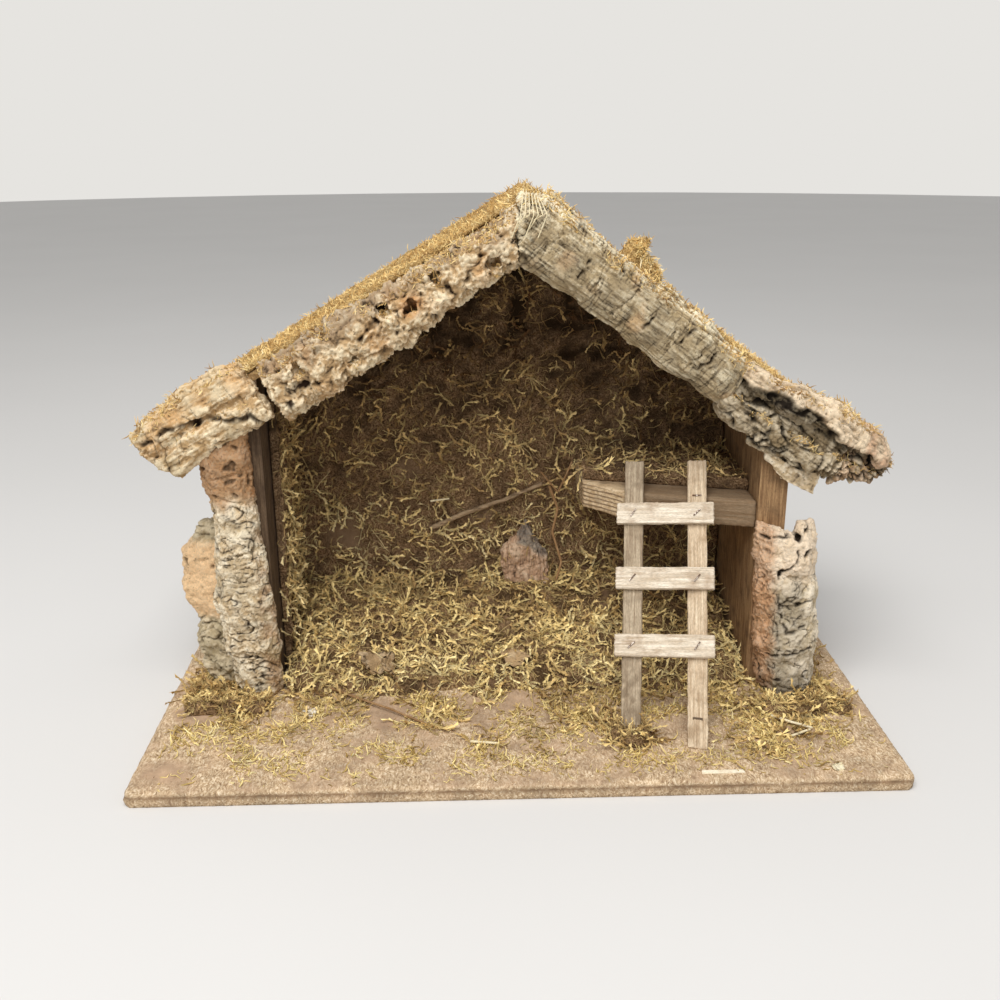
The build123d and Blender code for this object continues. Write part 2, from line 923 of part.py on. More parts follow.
foot_drop = (loft_height - base_thickness) / cos(radians(ladder_lean))
left_foot = on_ladder(-rail_spacing / 2, -foot_drop, 0)
with BuildPart() as ladder_foot_moss:
    with BuildSketch(Plane(origin=(left_foot.X, left_foot.Y, base_thickness))):
        RegularPolygon(ladder_moss_radius, moss_sides)
    extrude(amount=ladder_moss_height)
    chamfer(ladder_foot_moss.faces().sort_by(Axis.Z)[-1].edges(), moss_shoulder)
    add(ladder_left_rail.part, mode=Mode.SUBTRACT)
ladder_foot_moss.part.label = "ladder_foot_moss"
export_step(ladder_foot_moss.part, "parts/ladder_foot_moss.step")

# Twig, bark chip and splinter
twig_axis = Vector(cos(radians(twig_rise)), 0, sin(radians(twig_rise)))
twig_square = Vector(-sin(radians(twig_rise)), 0, cos(radians(twig_rise)))
twig_start = Vector(twig_offset, moss_back - twig_thick_end / 2, twig_height)
with BuildPart() as twig:
    for share, bend in ((0, 0), (0.3, 1), (0.65, 0.3), (1, 1)):
        joint = twig_start + twig_axis * share * twig_length + twig_square * bend * twig_bend
        with BuildSketch(Plane(origin=joint, x_dir=(0, 1, 0), z_dir=twig_axis)):
            RegularPolygon((twig_thick_end + share * (twig_thin_end - twig_thick_end)) / 2, twig_sides)
    loft(ruled=True)
twig.part.label = "twig"
export_step(twig.part, "parts/twig.step")

chip_foot = base_thickness + chip_rise
with BuildPart() as bark_chip:
    with BuildSketch(profile_plane(moss_back)):
        with BuildLine():
            Polyline(
                (chip_offset - 0.3 * chip_width, chip_foot),
                (chip_offset + 0.6 * chip_width, chip_foot),
                (chip_offset + 0.5 * chip_width, chip_foot + 0.5 * chip_height),
                (chip_offset + 0.1 * chip_width, chip_foot + chip_height),
                (chip_offset - 0.4 * chip_width, chip_foot + 0.55 * chip_height),
                close=True,
            )
        make_face()
    extrude(amount=chip_thickness)
    chamfer(bark_chip.faces().sort_by(Axis.Y)[0].edges(), chip_bevel)
    add(floor_moss.part, mode=Mode.SUBTRACT)
bark_chip.part.label = "bark_chip"
export_step(bark_chip.part, "parts/bark_chip.step")

with BuildPart() as wood_splinter:
    with BuildSketch(Plane(origin=(splinter_offset, front_edge + splinter_from_edge, base_thickness))):
        Trapezoid(splinter_length, splinter_width, splinter_end_angle)
    extrude(amount=splinter_thickness)
wood_splinter.part.label = "wood_splinter"
export_step(wood_splinter.part, "parts/wood_splinter.step")
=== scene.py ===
"""Looks of a wooden nativity stable: cork bark, moss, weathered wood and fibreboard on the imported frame."""

import json
import math
import random

import bmesh
import bpy
import numpy as np
from mathutils import Matrix, Vector, noise

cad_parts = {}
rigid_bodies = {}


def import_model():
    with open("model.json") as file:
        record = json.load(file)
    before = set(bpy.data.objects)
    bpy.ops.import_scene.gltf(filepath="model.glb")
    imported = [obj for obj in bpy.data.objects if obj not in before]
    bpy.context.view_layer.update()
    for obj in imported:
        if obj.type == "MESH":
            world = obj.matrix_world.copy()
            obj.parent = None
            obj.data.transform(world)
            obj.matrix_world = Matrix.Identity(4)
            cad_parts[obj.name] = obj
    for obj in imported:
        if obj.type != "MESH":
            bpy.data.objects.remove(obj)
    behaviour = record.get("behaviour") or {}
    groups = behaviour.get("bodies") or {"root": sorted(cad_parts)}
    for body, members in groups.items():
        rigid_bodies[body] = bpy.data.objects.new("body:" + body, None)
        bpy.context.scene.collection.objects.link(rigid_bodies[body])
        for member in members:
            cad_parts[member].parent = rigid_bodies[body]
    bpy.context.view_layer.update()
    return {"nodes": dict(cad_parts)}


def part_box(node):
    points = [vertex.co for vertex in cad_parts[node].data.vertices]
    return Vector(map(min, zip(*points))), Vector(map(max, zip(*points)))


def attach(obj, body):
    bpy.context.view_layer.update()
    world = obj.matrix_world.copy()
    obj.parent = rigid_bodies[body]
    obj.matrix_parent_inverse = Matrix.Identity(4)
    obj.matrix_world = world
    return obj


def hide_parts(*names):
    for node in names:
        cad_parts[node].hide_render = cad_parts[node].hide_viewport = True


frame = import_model()

# Left alone, the vector noise takes its offsets from the clock.
NOISE_SEED = 7
noise.seed_set(NOISE_SEED)

# Lengths inside the relief functions are millimetres, as on the maker's bench.
MM = 0.001
MERGE_WITHIN = 1e-6
SQUARE_CM_IN_SQUARE_M = 1e4
UP = Vector((0, 0, 1))
TO_FRONT = Vector((0, -1, 0))
TO_BACK = Vector((0, 1, 0))
TO_RIGHT = Vector((1, 0, 0))

# Where the house stands in the frame, how far it is turned and how big it is, in millimetres.
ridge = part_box("left_roof_panel")[1] / MM
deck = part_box("base_board")[1].z / MM
house_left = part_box("left_wall")[0].x / MM
LEFT_PITCH = math.radians(31)
RIGHT_PITCH = math.radians(36.5)
LOFT_TURN = math.radians(14.7)
ROOF_DEPTH = 6
HOUSE_HALF_WIDTH = 172
HOUSE_FRONT = -4
BASE_HALF_WIDTH = 225
BASE_HALF_DEPTH = 120
TUFT_HALF_HEIGHT = 11

# The photograph's viewpoint.
CAMERA_PLACE = Vector((-28.0, -646.3, 359.2))
CAMERA_YAW = math.radians(1.705)
CAMERA_PITCH = math.radians(18.876)
CAMERA_ROLL = math.radians(0.313)
FOCAL_SHARE = 1.088
SENSOR_WIDTH = 36

# Hollows and cracks of the bark, in millimetres down a slope and square to it, or up a post and across.
LEFT_GABLE_HOLES = (((106, -8), 5.5), ((91, -15), 6.5), ((71, -9), 5), ((183, -26), 5))
LEFT_EAVE_CRACK = ((274, -1), (255, -1), (240, -6), (225, -10), (218, -18), (207, -21), (205, -29))
RIGHT_GABLE_CRACKS = (
    ((46, -4), (48, -21)),
    ((121, -2), (119, -15)),
    ((98, -11), (96, -20)),
    ((66, 2), (67, -4)),
    ((142, -6), (139, -22)),
)
RIGHT_EAVE_LEDGE = ((158, -8), (177, -9), (192, -4), (211, 0), (232, -2), (252, 0))
RIGHT_POST_CRACKS = (
    ((106, 155), (106, 165), (107, 173)),
    ((115, 170), (108, 177), (105, 178)),
    ((98, 178), (93, 178), (89, 176), (86, 172), (83, 167), (79, 167)),
    ((63, 167), (53, 169), (44, 173)),
    ((63, 167), (61, 174), (63, 179), (65, 190)),
    ((44, 173), (47, 180), (49, 184)),
    ((29, 161), (29, 167), (31, 176), (35, 189)),
)
RIGHT_POST_HOLES = ((116, 161), (119, 169), (111, 185), (96, 185), (105, 178), (84, 168))

# Where the floor's moss ends, and the twig's line and the bare spots on the back wall, across and up.
FLOOR_MOSS_END = -12
TWIG_LINE = ((-58, 84), (26, 118))
WALL_BARE = (((-119, 80), 16, 1.0), ((-70, 129), 12, 0.7), ((-20, 92), 14, 0.6))

# Layered noise: how much finer each layer is than the one before. Lumps: what they come to on average.
FINER = 2.0
MEAN_LUMP = 0.4


def clamp(value, low=0.0, high=1.0):
    return max(low, min(high, value))


def ease(value, start, end):
    """0 up to start, 1 from end, and a smooth rise between them."""
    share = clamp((value - start) / (end - start))
    return share * share * (3 - 2 * share)


def nearness(along, across, line, reach):
    """1 on a drawn line, falling to 0 at reach from it."""
    best = reach
    for (x0, y0), (x1, y1) in zip(line, line[1:]):
        run_x, run_y = x1 - x0, y1 - y0
        share = clamp(((along - x0) * run_x + (across - y0) * run_y) / (run_x * run_x + run_y * run_y))
        best = min(best, math.hypot(along - x0 - share * run_x, across - y0 - share * run_y))
    return 1 - best / reach


def stretched(spot, along, across, out):
    """A spot for noise that is drawn out along the grain."""
    return Vector((spot.x / along, spot.y / across, spot.z / out))


def wander(spot, size):
    """Soft noise about size across, near -1 to 1."""
    return noise.noise(spot / size)


def warped(spot, amount, size):
    """A spot moved by up to the amount, in swirls about size across."""
    return spot + amount * noise.noise_vector(spot / size)


def patchy(spot, size, start, end):
    """A soft mask whose patches are about size across."""
    return ease(wander(spot, size), start, end)


def blotchy(spot, size, start, end, layers=3):
    """A mask whose patches are about size across and have ragged edges."""
    return ease(noise.fractal(spot / size, 0.9, FINER, layers), start, end)


def fibrous(spot, along, across, out, fade=0.8, layers=4):
    """Noise drawn out into fibres."""
    return noise.fractal(stretched(spot, along, across, out), fade, FINER, layers)


# Shapes


def stood(name, data):
    """A new object in the scene that holds some data."""
    holder = bpy.data.objects.new(name, data)
    bpy.context.scene.collection.objects.link(holder)
    return holder


def meshed(form, name):
    """A mesh made from a bmesh, which it uses up."""
    mesh = bpy.data.meshes.new(name)
    form.to_mesh(mesh)
    form.free()
    return mesh


def applied(mesh, *modifiers):
    """The mesh that a stack of modifiers makes of a mesh, which it uses up."""
    holder = stood("holder", mesh)
    for kind, settings in modifiers:
        modifier = holder.modifiers.new(kind.lower(), kind)
        for key, value in settings.items():
            setattr(modifier, key, value)
    graph = bpy.context.evaluated_depsgraph_get()
    result = bpy.data.meshes.new_from_object(holder.evaluated_get(graph), depsgraph=graph)
    bpy.data.objects.remove(holder)
    bpy.data.meshes.remove(mesh)
    return result


def skin_of(node, face, smoothing):
    """A CAD node's form as an even skin of small faces with softened edges, ready to be carved."""
    form = bmesh.new()
    form.from_mesh(frame["nodes"][node].data)
    bmesh.ops.remove_doubles(form, verts=form.verts, dist=MERGE_WITHIN)
    return applied(
        meshed(form, node + "_skin"),
        ("REMESH", {"mode": "VOXEL", "voxel_size": face * MM}),
        ("SMOOTH", {"factor": 0.5, "iterations": smoothing}),
    )


def carve(mesh, relief):
    """Moves each vertex by the millimetres that a relief gives for it, and keeps the values it names."""
    places = []
    kept = {}
    for vertex in mesh.vertices:
        shift, values = relief(vertex.co / MM, vertex.normal)
        places.extend(vertex.co + shift * MM)
        for key, value in values.items():
            kept.setdefault(key, []).append(value)
    mesh.vertices.foreach_set("co", places)
    for key, values in kept.items():
        mesh.attributes.new(key, "FLOAT", "POINT").data.foreach_set("value", values)
    mesh.shade_smooth()
    mesh.update()
    return mesh


def coat(mesh, material):
    """Gives a mesh one finish in place of those that it had."""
    mesh.materials.clear()
    mesh.materials.append(material)


def add_piece(name, mesh, material, stands_for=()):
    """Puts a mesh on the stable as a piece with its finish, in place of the CAD nodes that it stands for."""
    mesh.name = name
    coat(mesh, material)
    piece = stood(name, mesh)
    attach(piece, "root")
    if stands_for:
        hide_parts(*stands_for)
    return piece


# Finishes

DULL_SHEEN = 0.25


def paint(code):
    """A colour that shows as its six-digit screen code."""
    shares = [int(code[place : place + 2], 16) / 255 for place in (0, 2, 4)]
    return [s / 12.92 if s <= 0.04045 else ((s + 0.055) / 1.055) ** 2.4 for s in shares] + [1.0]


def add(tree, kind, inputs=None, **settings):
    """A node with its settings, and with each input set or linked."""
    node = tree.nodes.new(kind)
    for key, value in settings.items():
        setattr(node, key, value)
    for key, value in (inputs or {}).items():
        if isinstance(value, bpy.types.NodeSocket):
            tree.links.new(value, node.inputs[key])
        else:
            node.inputs[key].default_value = value
    return node


def where(tree):
    """Where a point lies on the stable, in metres."""
    return add(tree, "ShaderNodeTexCoord").outputs["Object"]


def mixed(tree, share, first, second, how="MIX"):
    inputs = {0: share, 6: first, 7: second}
    return add(tree, "ShaderNodeMix", inputs, data_type="RGBA", blend_type=how).outputs[2]


def spread(tree, value, start, end, low=0.0, high=1.0):
    """A value's range from start to end drawn out from low to high."""
    inputs = {"Value": value, 1: start, 2: end, 3: low, 4: high}
    return add(tree, "ShaderNodeMapRange", inputs).outputs[0]


def mottle(tree, place, size, detail=3.0, roughness=0.55):
    """Noise whose spots are about size millimetres across."""
    inputs = {"Vector": place, "Scale": 1 / (size * MM), "Detail": detail, "Roughness": roughness}
    return add(tree, "ShaderNodeTexNoise", inputs).outputs[0]


def worked(tree, first, second, operation):
    return add(tree, "ShaderNodeMath", {0: first, 1: second}, operation=operation).outputs[0]


def waved(tree, value):
    return add(tree, "ShaderNodeMath", {0: value}, operation="SINE").outputs[0]


def scaled(tree, vector, factors):
    inputs = {0: vector, 1: factors}
    return add(tree, "ShaderNodeVectorMath", inputs, operation="MULTIPLY").outputs[0]


def shader_group(name, **inputs):
    """A shader group for a colour and a height, its inputs listed by kind, and its own ends to link to."""
    tree = bpy.data.node_groups.new(name, "ShaderNodeTree")
    for way, sockets in (("INPUT", inputs), ("OUTPUT", {"Color": ("Colour",), "Float": ("Height",)})):
        for kind, labels in sockets.items():
            for label in labels:
                tree.interface.new_socket(label, in_out=way, socket_type="NodeSocket" + kind)
    return tree, add(tree, "NodeGroupInput").outputs, add(tree, "NodeGroupOutput").inputs


def new_material(name):
    """A new material, its node tree and its shader."""
    material = bpy.data.materials.new(name)
    material.use_nodes = True
    return material, material.node_tree, material.node_tree.nodes["Principled BSDF"]


def finish_of(name, group, colours, attributes, roughness, bump):
    """A material whose colour and fine relief come from a shader group fed by the piece's own attributes."""
    material, tree, shader = new_material(name)
    shader.inputs["Roughness"].default_value = roughness
    shader.inputs["Specular IOR Level"].default_value = DULL_SHEEN
    look = add(tree, "ShaderNodeGroup", node_tree=group)
    for label, code in colours.items():
        look.inputs[label].default_value = paint(code)
    for label, (attribute, socket) in attributes.items():
        source = add(tree, "ShaderNodeAttribute", attribute_name=attribute)
        tree.links.new(source.outputs[socket], look.inputs[label])
    tree.links.new(look.outputs["Colour"], shader.inputs["Base Color"])
    relief = add(tree, "ShaderNodeBump", {"Distance": bump * MM, "Height": look.outputs["Height"]})
    tree.links.new(relief.outputs[0], shader.inputs["Normal"])
    return material


def bark_look():
    """Cork that is pale on its crests as a painted highlight, grey where weathered, warm where fresh and dark
    in its gaps as painted shade.
    """
    colours = ("Pale", "Body", "Grey", "Warm", "Deep")
    masks = ("Crest", "Weathered", "Fresh", "Gap")
    tree, given, out = shader_group("bark_look", Color=colours, Float=masks)
    place = where(tree)
    patch = mottle(tree, place, 8, 5, 0.65)
    grit = mottle(tree, place, 1.6, 4, 0.7)
    fine = mottle(tree, place, 0.5, 3, 0.7)
    # Painted highlight: the crests take the pale colour, with random pale patches mixed in.
    crest = worked(tree, given["Crest"], spread(tree, patch, 0.4, 0.6, -0.35, 0.35), "ADD")
    weathered = worked(tree, given["Weathered"], spread(tree, grit, 0.35, 0.6, 0.5, 1), "MULTIPLY")
    fresh = worked(tree, given["Fresh"], spread(tree, grit, 0.3, 0.55, 0.6, 1), "MULTIPLY")
    colour = mixed(tree, spread(tree, crest, 0, 1), given["Body"], given["Pale"])
    colour = mixed(tree, weathered, colour, given["Grey"])
    colour = mixed(tree, fresh, colour, given["Warm"])
    colour = mixed(tree, 1.0, colour, spread(tree, grit, 0.3, 0.7, 0.76, 1.14), "MULTIPLY")
    # The gaps take the deep colour as painted shade, and the dark pores take it too.
    pores = spread(tree, mottle(tree, place, 2.4, 2), 0.3, 0.37, 0.5, 0)
    colour = mixed(tree, worked(tree, given["Gap"], pores, "MAXIMUM"), colour, given["Deep"])
    tree.links.new(colour, out["Colour"])
    tree.links.new(worked(tree, grit, fine, "ADD"), out["Height"])
    return tree


def wood_look():
    """Dry sawn wood with streaks and growth lines along its grain, and stains; its Soiled mask also carries
    painted shade on the loft.
    """
    colours = ("Light", "Dark", "Stain")
    tree, given, out = shader_group("wood_look", Vector=("Grain",), Float=("Soiled", "Sawn"), Color=colours)
    streak = mottle(tree, scaled(tree, given["Grain"], (1, 0.05, 1)), 1.3, 5, 0.65)
    fleck = mottle(tree, scaled(tree, given["Grain"], (1, 0.25, 1)), 0.5, 3, 0.6)
    bend = mottle(tree, scaled(tree, given["Grain"], (1, 0.1, 1)), 14, 2)
    ring = waved(tree, worked(tree, bend, 40.0, "MULTIPLY"))
    blotch = mottle(tree, given["Grain"], 11, 4)
    colour = mixed(tree, spread(tree, streak, 0.35, 0.65), given["Dark"], given["Light"])
    colour = mixed(tree, spread(tree, ring, 0.2, 1.0, 0.0, 0.35), colour, given["Dark"])
    height = add(tree, "ShaderNodeSeparateXYZ", {0: given["Grain"]}).outputs[0]
    swing = worked(tree, worked(tree, height, 2300.0, "MULTIPLY"), worked(tree, bend, 9.0, "MULTIPLY"), "ADD")
    line = spread(tree, waved(tree, swing), 0.0, 0.7, 0.0, 0.8)
    stained = worked(tree, spread(tree, blotch, 0.5, 0.7, 0.0, 0.6), given["Soiled"], "MAXIMUM")
    stained = worked(tree, stained, worked(tree, line, given["Sawn"], "MULTIPLY"), "MAXIMUM")
    colour = mixed(tree, stained, colour, given["Stain"])
    colour = mixed(tree, 1.0, colour, spread(tree, fleck, 0.3, 0.7, 0.74, 1.14), "MULTIPLY")
    tree.links.new(colour, out["Colour"])
    tree.links.new(worked(tree, streak, worked(tree, fleck, 0.5, "MULTIPLY"), "ADD"), out["Height"])
    return tree


def fibre_look():
    """Pressed fibreboard or a bed of litter: a felt of fibres in three tones, soiled, with painted shade in
    its gaps.
    """
    colours = ("Light", "Body", "Dark", "Stain")
    tree, given, out = shader_group("fibre_look", Color=colours, Float=("Soiled", "Gap"))
    place = where(tree)
    swirl = {"Vector": place, "Scale": 1 / (7 * MM), "Detail": 1.0}
    pushed = {0: add(tree, "ShaderNodeTexNoise", swirl).outputs[1], 1: (6 * MM,) * 3, 2: place}
    bent = add(tree, "ShaderNodeVectorMath", pushed, operation="MULTIPLY_ADD").outputs[0]
    layers = []
    for turned, size in (((0.3, 0.5, 0.7), 1.5), ((0.9, 0.2, 2.1), 0.9)):
        laid = {"Vector": bent, "Rotation": turned, "Scale": (1, 0.35, 1)}
        layers.append(mottle(tree, add(tree, "ShaderNodeMapping", laid).outputs[0], size, 4, 0.7))
    felt = worked(tree, *layers, "ADD")
    stain = spread(tree, mottle(tree, place, 38, 4, 0.6), 0.52, 0.72, 0.0, 0.5)
    colour = mixed(tree, spread(tree, felt, 0.8, 1.02), given["Dark"], given["Body"])
    colour = mixed(tree, spread(tree, felt, 1.02, 1.22), colour, given["Light"])
    colour = mixed(tree, worked(tree, stain, given["Soiled"], "MAXIMUM"), colour, given["Stain"])
    # Painted shade: gaps between strands, hollows and grooves take the dark tone.
    colour = mixed(tree, given["Gap"], colour, given["Dark"])
    cloud = spread(tree, mottle(tree, bent, 14, 5, 0.7), 0.36, 0.64, 0.76, 1.12)
    colour = mixed(tree, 1.0, colour, cloud, "MULTIPLY")
    tree.links.new(colour, out["Colour"])
    tree.links.new(felt, out["Height"])
    return tree


def strand_look():
    """Dried strands: the map's across runs from the darkest strand to the palest, its up from root to tip."""
    colours = ("Shade", "Body", "Bright", "Straw")
    tree, given, out = shader_group("strand_look", Vector=("Map",), Color=colours)
    spot = add(tree, "ShaderNodeSeparateXYZ", {0: given["Map"]}).outputs
    colour = mixed(tree, spread(tree, spot[0], 0.05, 0.4), given["Shade"], given["Body"])
    colour = mixed(tree, spread(tree, spot[0], 0.4, 0.7), colour, given["Bright"])
    colour = mixed(tree, spread(tree, spot[0], 0.8, 1.02), colour, given["Straw"])
    place = where(tree)
    withered = spread(tree, mottle(tree, place, 22, 3, 0.6), 0.5, 0.66, 0.0, 0.6)
    colour = mixed(tree, withered, colour, given["Shade"])
    # Painted shade: each strand darkens towards its root, deep in the moss, and lightens towards its tip.
    colour = mixed(tree, 1.0, colour, spread(tree, spot[1], 0.0, 0.8, 0.6, 1.2), "MULTIPLY")
    tree.links.new(colour, out["Colour"])
    tree.links.new(spot[1], out["Height"])
    return tree


bark_group = bark_look()
wood_group = wood_look()
fibre_group = fibre_look()
strand_group = strand_look()


def bark_finish(name, pale, body, grey, warm, deep):
    colours = {"Pale": pale, "Body": body, "Grey": grey, "Warm": warm, "Deep": deep}
    masks = {label: (label.lower(), "Fac") for label in ("Crest", "Weathered", "Fresh", "Gap")}
    return finish_of(name, bark_group, colours, masks, roughness=0.9, bump=0.5)


def wood_finish(name, light, dark, stain, roughness=0.8):
    colours = {"Light": light, "Dark": dark, "Stain": stain}
    masks = {"Grain": ("grain", "Vector"), "Soiled": ("soiled", "Fac"), "Sawn": ("sawn", "Fac")}
    return finish_of(name, wood_group, colours, masks, roughness, bump=0.45)


def fibre_finish(name, light, body, dark, stain, bump=0.5):
    colours = {"Light": light, "Body": body, "Dark": dark, "Stain": stain}
    masks = {label: (label.lower(), "Fac") for label in ("Soiled", "Gap")}
    return finish_of(name, fibre_group, colours, masks, roughness=0.95, bump=bump)


def strand_finish(name, shade, body, bright, straw):
    colours = {"Shade": shade, "Body": body, "Bright": bright, "Straw": straw}
    masks = {"Map": ("OFBake", "Vector")}
    return finish_of(name, strand_group, colours, masks, roughness=0.75, bump=0.05)


# Each cork's first colour is its painted highlight on crests, and its last is the painted shade in gaps and
# the colour of its dark pores.
nodular_cork = bark_finish("nodular_cork", "fbe8c4", "c5a478", "97816a", "c8935c", "2a190c")
split_cork = bark_finish("split_cork", "fbe7c2", "c6a476", "a8946f", "dcac74", "2d1d10")
grained_cork = bark_finish("grained_cork", "fbecca", "b9a27b", "a39377", "c69c70", "2c1f13")
# The plated cork's dark grey also paints the shade below the right eave's ledge.
plated_cork = bark_finish("plated_cork", "f8e6c6", "ab9470", "605643", "cc9f7c", "20170d")
flake_cork = bark_finish("flake_cork", "fbedd2", "d4bc96", "a8987c", "d8b088", "3a2c1d")
post_cork = bark_finish("post_cork", "fbeccf", "d6bc94", "b9a888", "ab7b50", "2f2116")
right_post_cork = bark_finish("right_post_cork", "fff0d6", "d6c09a", "9e917b", "d3a074", "2c2116")
side_cork = bark_finish("side_cork", "f2e0bf", "c0aa84", "a89a7a", "e9c497", "44351f")
chip_bark = bark_finish("chip_bark", "f2dabb", "c4a486", "78726a", "cba07e", "2e2016")
twig_bark = bark_finish("twig_bark", "cdb28e", "a88d6e", "84705a", "b0926f", "42311f")
left_rail_wood = wood_finish("left_rail_wood", "c9b79c", "937f67", "77654f")
right_rail_wood = wood_finish("right_rail_wood", "e8d4b6", "b2987a", "95795a")
rung_wood = wood_finish("rung_wood", "f2e6d2", "c0ac92", "a08468")
# The loft wood's dark stain colour also paints the shade on the loft's right end.
loft_wood = wood_finish("loft_wood", "f0d8b2", "ba9a72", "6b543e")
splinter_wood = wood_finish("splinter_wood", "fff6e2", "f0e0c0", "d8c09a")
wall_wood = wood_finish("wall_wood", "ba966c", "76573a", "604a34")
# Painted shade: a darker copy of the wall wood, for the left wall in shadow.
dark_wall_wood = wood_finish("dark_wall_wood", "75604a", "483728", "3b2d21")
yard_board = fibre_finish("yard_board", "eedbbd", "c6ab88", "8e7256", "b3967a", 0.2)
panel_board = fibre_finish("panel_board", "c2a377", "a08156", "7c5f3e", "8f714c")
# The beds' dark colour also paints the shade between strands.
floor_bed = fibre_finish("floor_bed", "c6a67c", "92734e", "402c16", "86694e", 1.5)
wall_bed = fibre_finish("wall_bed", "c0a07a", "8f7050", "362512", "967a5e", 1.5)
roof_bed = fibre_finish("roof_bed", "e0c48e", "b8955c", "7c5d33", "96743f", 1.2)
strewn_strands = strand_finish("strewn_strands", "7c5c34", "c8ac68", "ecd692", "f8ecc0")
floor_strands = strand_finish("floor_strands", "6e4e2e", "c8aa70", "ead292", "f3e3ac")
wall_strands = strand_finish("wall_strands", "5e4226", "bf9f6a", "e6cd90", "f0dfac")
roof_strands = strand_finish("roof_strands", "8c673a", "d4ae6e", "f2d898", "fcefcc")
yard_strands = strand_finish("yard_strands", "87694a", "c2a47c", "e4cca2", "f4e6c8")


def steel_finish():
    """Thin steel wire, dull and spotted with rust."""
    material, tree, shader = new_material("steel_wire")
    place = where(tree)
    rust = spread(tree, mottle(tree, place, 1.5, 4, 0.6), 0.4, 0.6)
    tree.links.new(mixed(tree, rust, paint("8a8178"), paint("5d3f28")), shader.inputs["Base Color"])
    tree.links.new(spread(tree, rust, 0, 1, 0.35, 0.85), shader.inputs["Roughness"])
    tree.links.new(spread(tree, rust, 0, 1, 1, 0.1), shader.inputs["Metallic"])
    return material


steel_wire = steel_finish()


# Bark

# Sets the sites of cells apart, so that each draws its own chance.
CELL_SPREAD = 9.7


def on_slope(side, pitch):
    """A way to read a point as millimetres down a roof slope, square to it and out from the house."""
    turn = Matrix(
        (
            (side * math.cos(pitch), 0, -math.sin(pitch)),
            (side * math.sin(pitch), 0, math.cos(pitch)),
            (0, -1, 0),
        )
    )
    start = Vector((ridge.x, 0, ridge.z))
    return lambda point: turn @ (point - start)


def on_post(point):
    """A point of a post as millimetres up, to the right and out from the house."""
    return Vector((point.z - deck, point.x, -point.y))


def on_side(point):
    """A point of the left wall's bark as millimetres up, to the back and out from the wall."""
    return Vector((point.z - deck, point.y, house_left - point.x))


def creased(spot, size):
    """Rounded lumps of several sizes with sharp creases between them, from 0 in a crease to about 1."""
    return noise.turbulence(spot / size, 4, True)


def sunk(lump, level, soft):
    """1 well below a level of the lumps, 0 above it."""
    return ease(level - lump, 0, soft)


def cells(spot, along, across):
    """How far a spot lies inside its cell of bark, 0 at the edge, and the cell's own chance from 0 to 1."""
    ways, sites = noise.voronoi(stretched(spot, along, across, across))
    return ways[1] - ways[0], 0.5 + 0.5 * noise.cell(CELL_SPREAD * sites[0])


def seams(spot, along, across, width=0.1):
    """Thin wandering lines, 1 on a line, about the given millimetres apart along the grain and across it."""
    return ease(width - abs(noise.noise(stretched(spot, along, across, across))), 0, width)


def crumbled(spot, size):
    """Fine roughness about size across, near -1 to 1."""
    return noise.fractal(spot / size, 0.8, FINER, 3)


def nodular(spot):
    """Cork in rough knobs with gaps between them and a few deep holes, both dark with painted shade,
    weathered towards its top.
    """
    bent = warped(spot, 2.6, 10)
    torn = bent + 1.2 * noise.noise_vector(spot / 3)
    knob = creased(bent, 12)
    crumb = creased(torn, 4.6)
    apart = patchy(spot, 13, -0.2, 0.3)
    hollow = blotchy(torn, 8, 0.3, 0.6, 2)
    hole = 0.0
    for (along, across), width in LEFT_GABLE_HOLES:
        hole = max(hole, 1 - math.hypot(torn.x - along, 1.3 * (torn.y - across)) / width)
    hole = ease(hole, 0.15, 0.8)
    rough = crumbled(spot, 1.8)
    facet = cells(torn, 8, 7)[1] - 0.5
    height = 5.0 * (knob - MEAN_LUMP) + (1.6 + 1.2 * apart) * (crumb - MEAN_LUMP) + 0.6 * rough + 1.8 * facet
    height += 1.5 * wander(spot, 24) - 2.6 * hollow - 2.0 * hole
    # Painted shade in the creases, hollows and holes; a painted highlight on the knobs.
    gap = sunk(knob, 0.26, 0.2) + (0.3 + 0.5 * apart) * sunk(crumb, 0.2, 0.16)
    gap = clamp(gap + 0.8 * hollow * sunk(knob, 0.55, 0.4) + hole * ease(spot.x, 98, 102))
    crest = ease(0.7 * knob + 0.5 * crumb + 0.25 * rough, 0.35, 0.85)
    weathered = 0.75 * ease(spot.y + 12 * wander(spot, 11), -13, 0)
    fresh = 0.8 * ease(1 - math.hypot(spot.x - 91, spot.y + 15) / 10, 0.1, 0.6)
    return height, gap, crest, weathered, fresh + 0.3 * patchy(spot, 18, 0.1, 0.5)


def split(spot):
    """Two cork lips either side of a long broken crack, the lower one finely striped along its length."""
    bent = warped(spot, 2.5, 8)
    below = ease(-spot.y, 9, 15)
    lump = creased(stretched(bent, 1.5, 1.0, 1.0), 12)
    crumb = creased(bent, 4.5)
    stripe = fibrous(spot, 20, 1.5, 2.5, 0.9, 3)
    crack = patchy(spot, 6, -0.5, 0.0) * ease(nearness(bent.x, bent.y, LEFT_EAVE_CRACK, 3.2), 0.15, 0.9)
    chink = patchy(spot, 9, -0.05, 0.3) * seams(bent, 6, 12)
    rough = crumbled(spot, 1.8)
    height = 3.0 * (lump - MEAN_LUMP) + 1.3 * (crumb - MEAN_LUMP) + 0.5 * stripe
    height = height + 0.4 * rough - 2.4 * crack - 0.8 * chink
    # Painted shade in the crack, chinks and creases; a painted highlight on the lumps and stripes.
    gap = clamp(0.9 * crack + 0.6 * chink + 0.6 * sunk(lump, 0.2, 0.16) + 0.3 * sunk(crumb, 0.16, 0.14))
    crest = ease(0.6 * lump + 0.4 * crumb + 0.3 * stripe, 0.2, 0.65)
    weathered = 0.5 * below * patchy(spot, 13, 0.0, 0.5) + 0.4 * ease(spot.y, -4, 3)
    return height, gap, crest, weathered, 0.65 * (1 - below) * patchy(spot, 16, -0.3, 0.4)


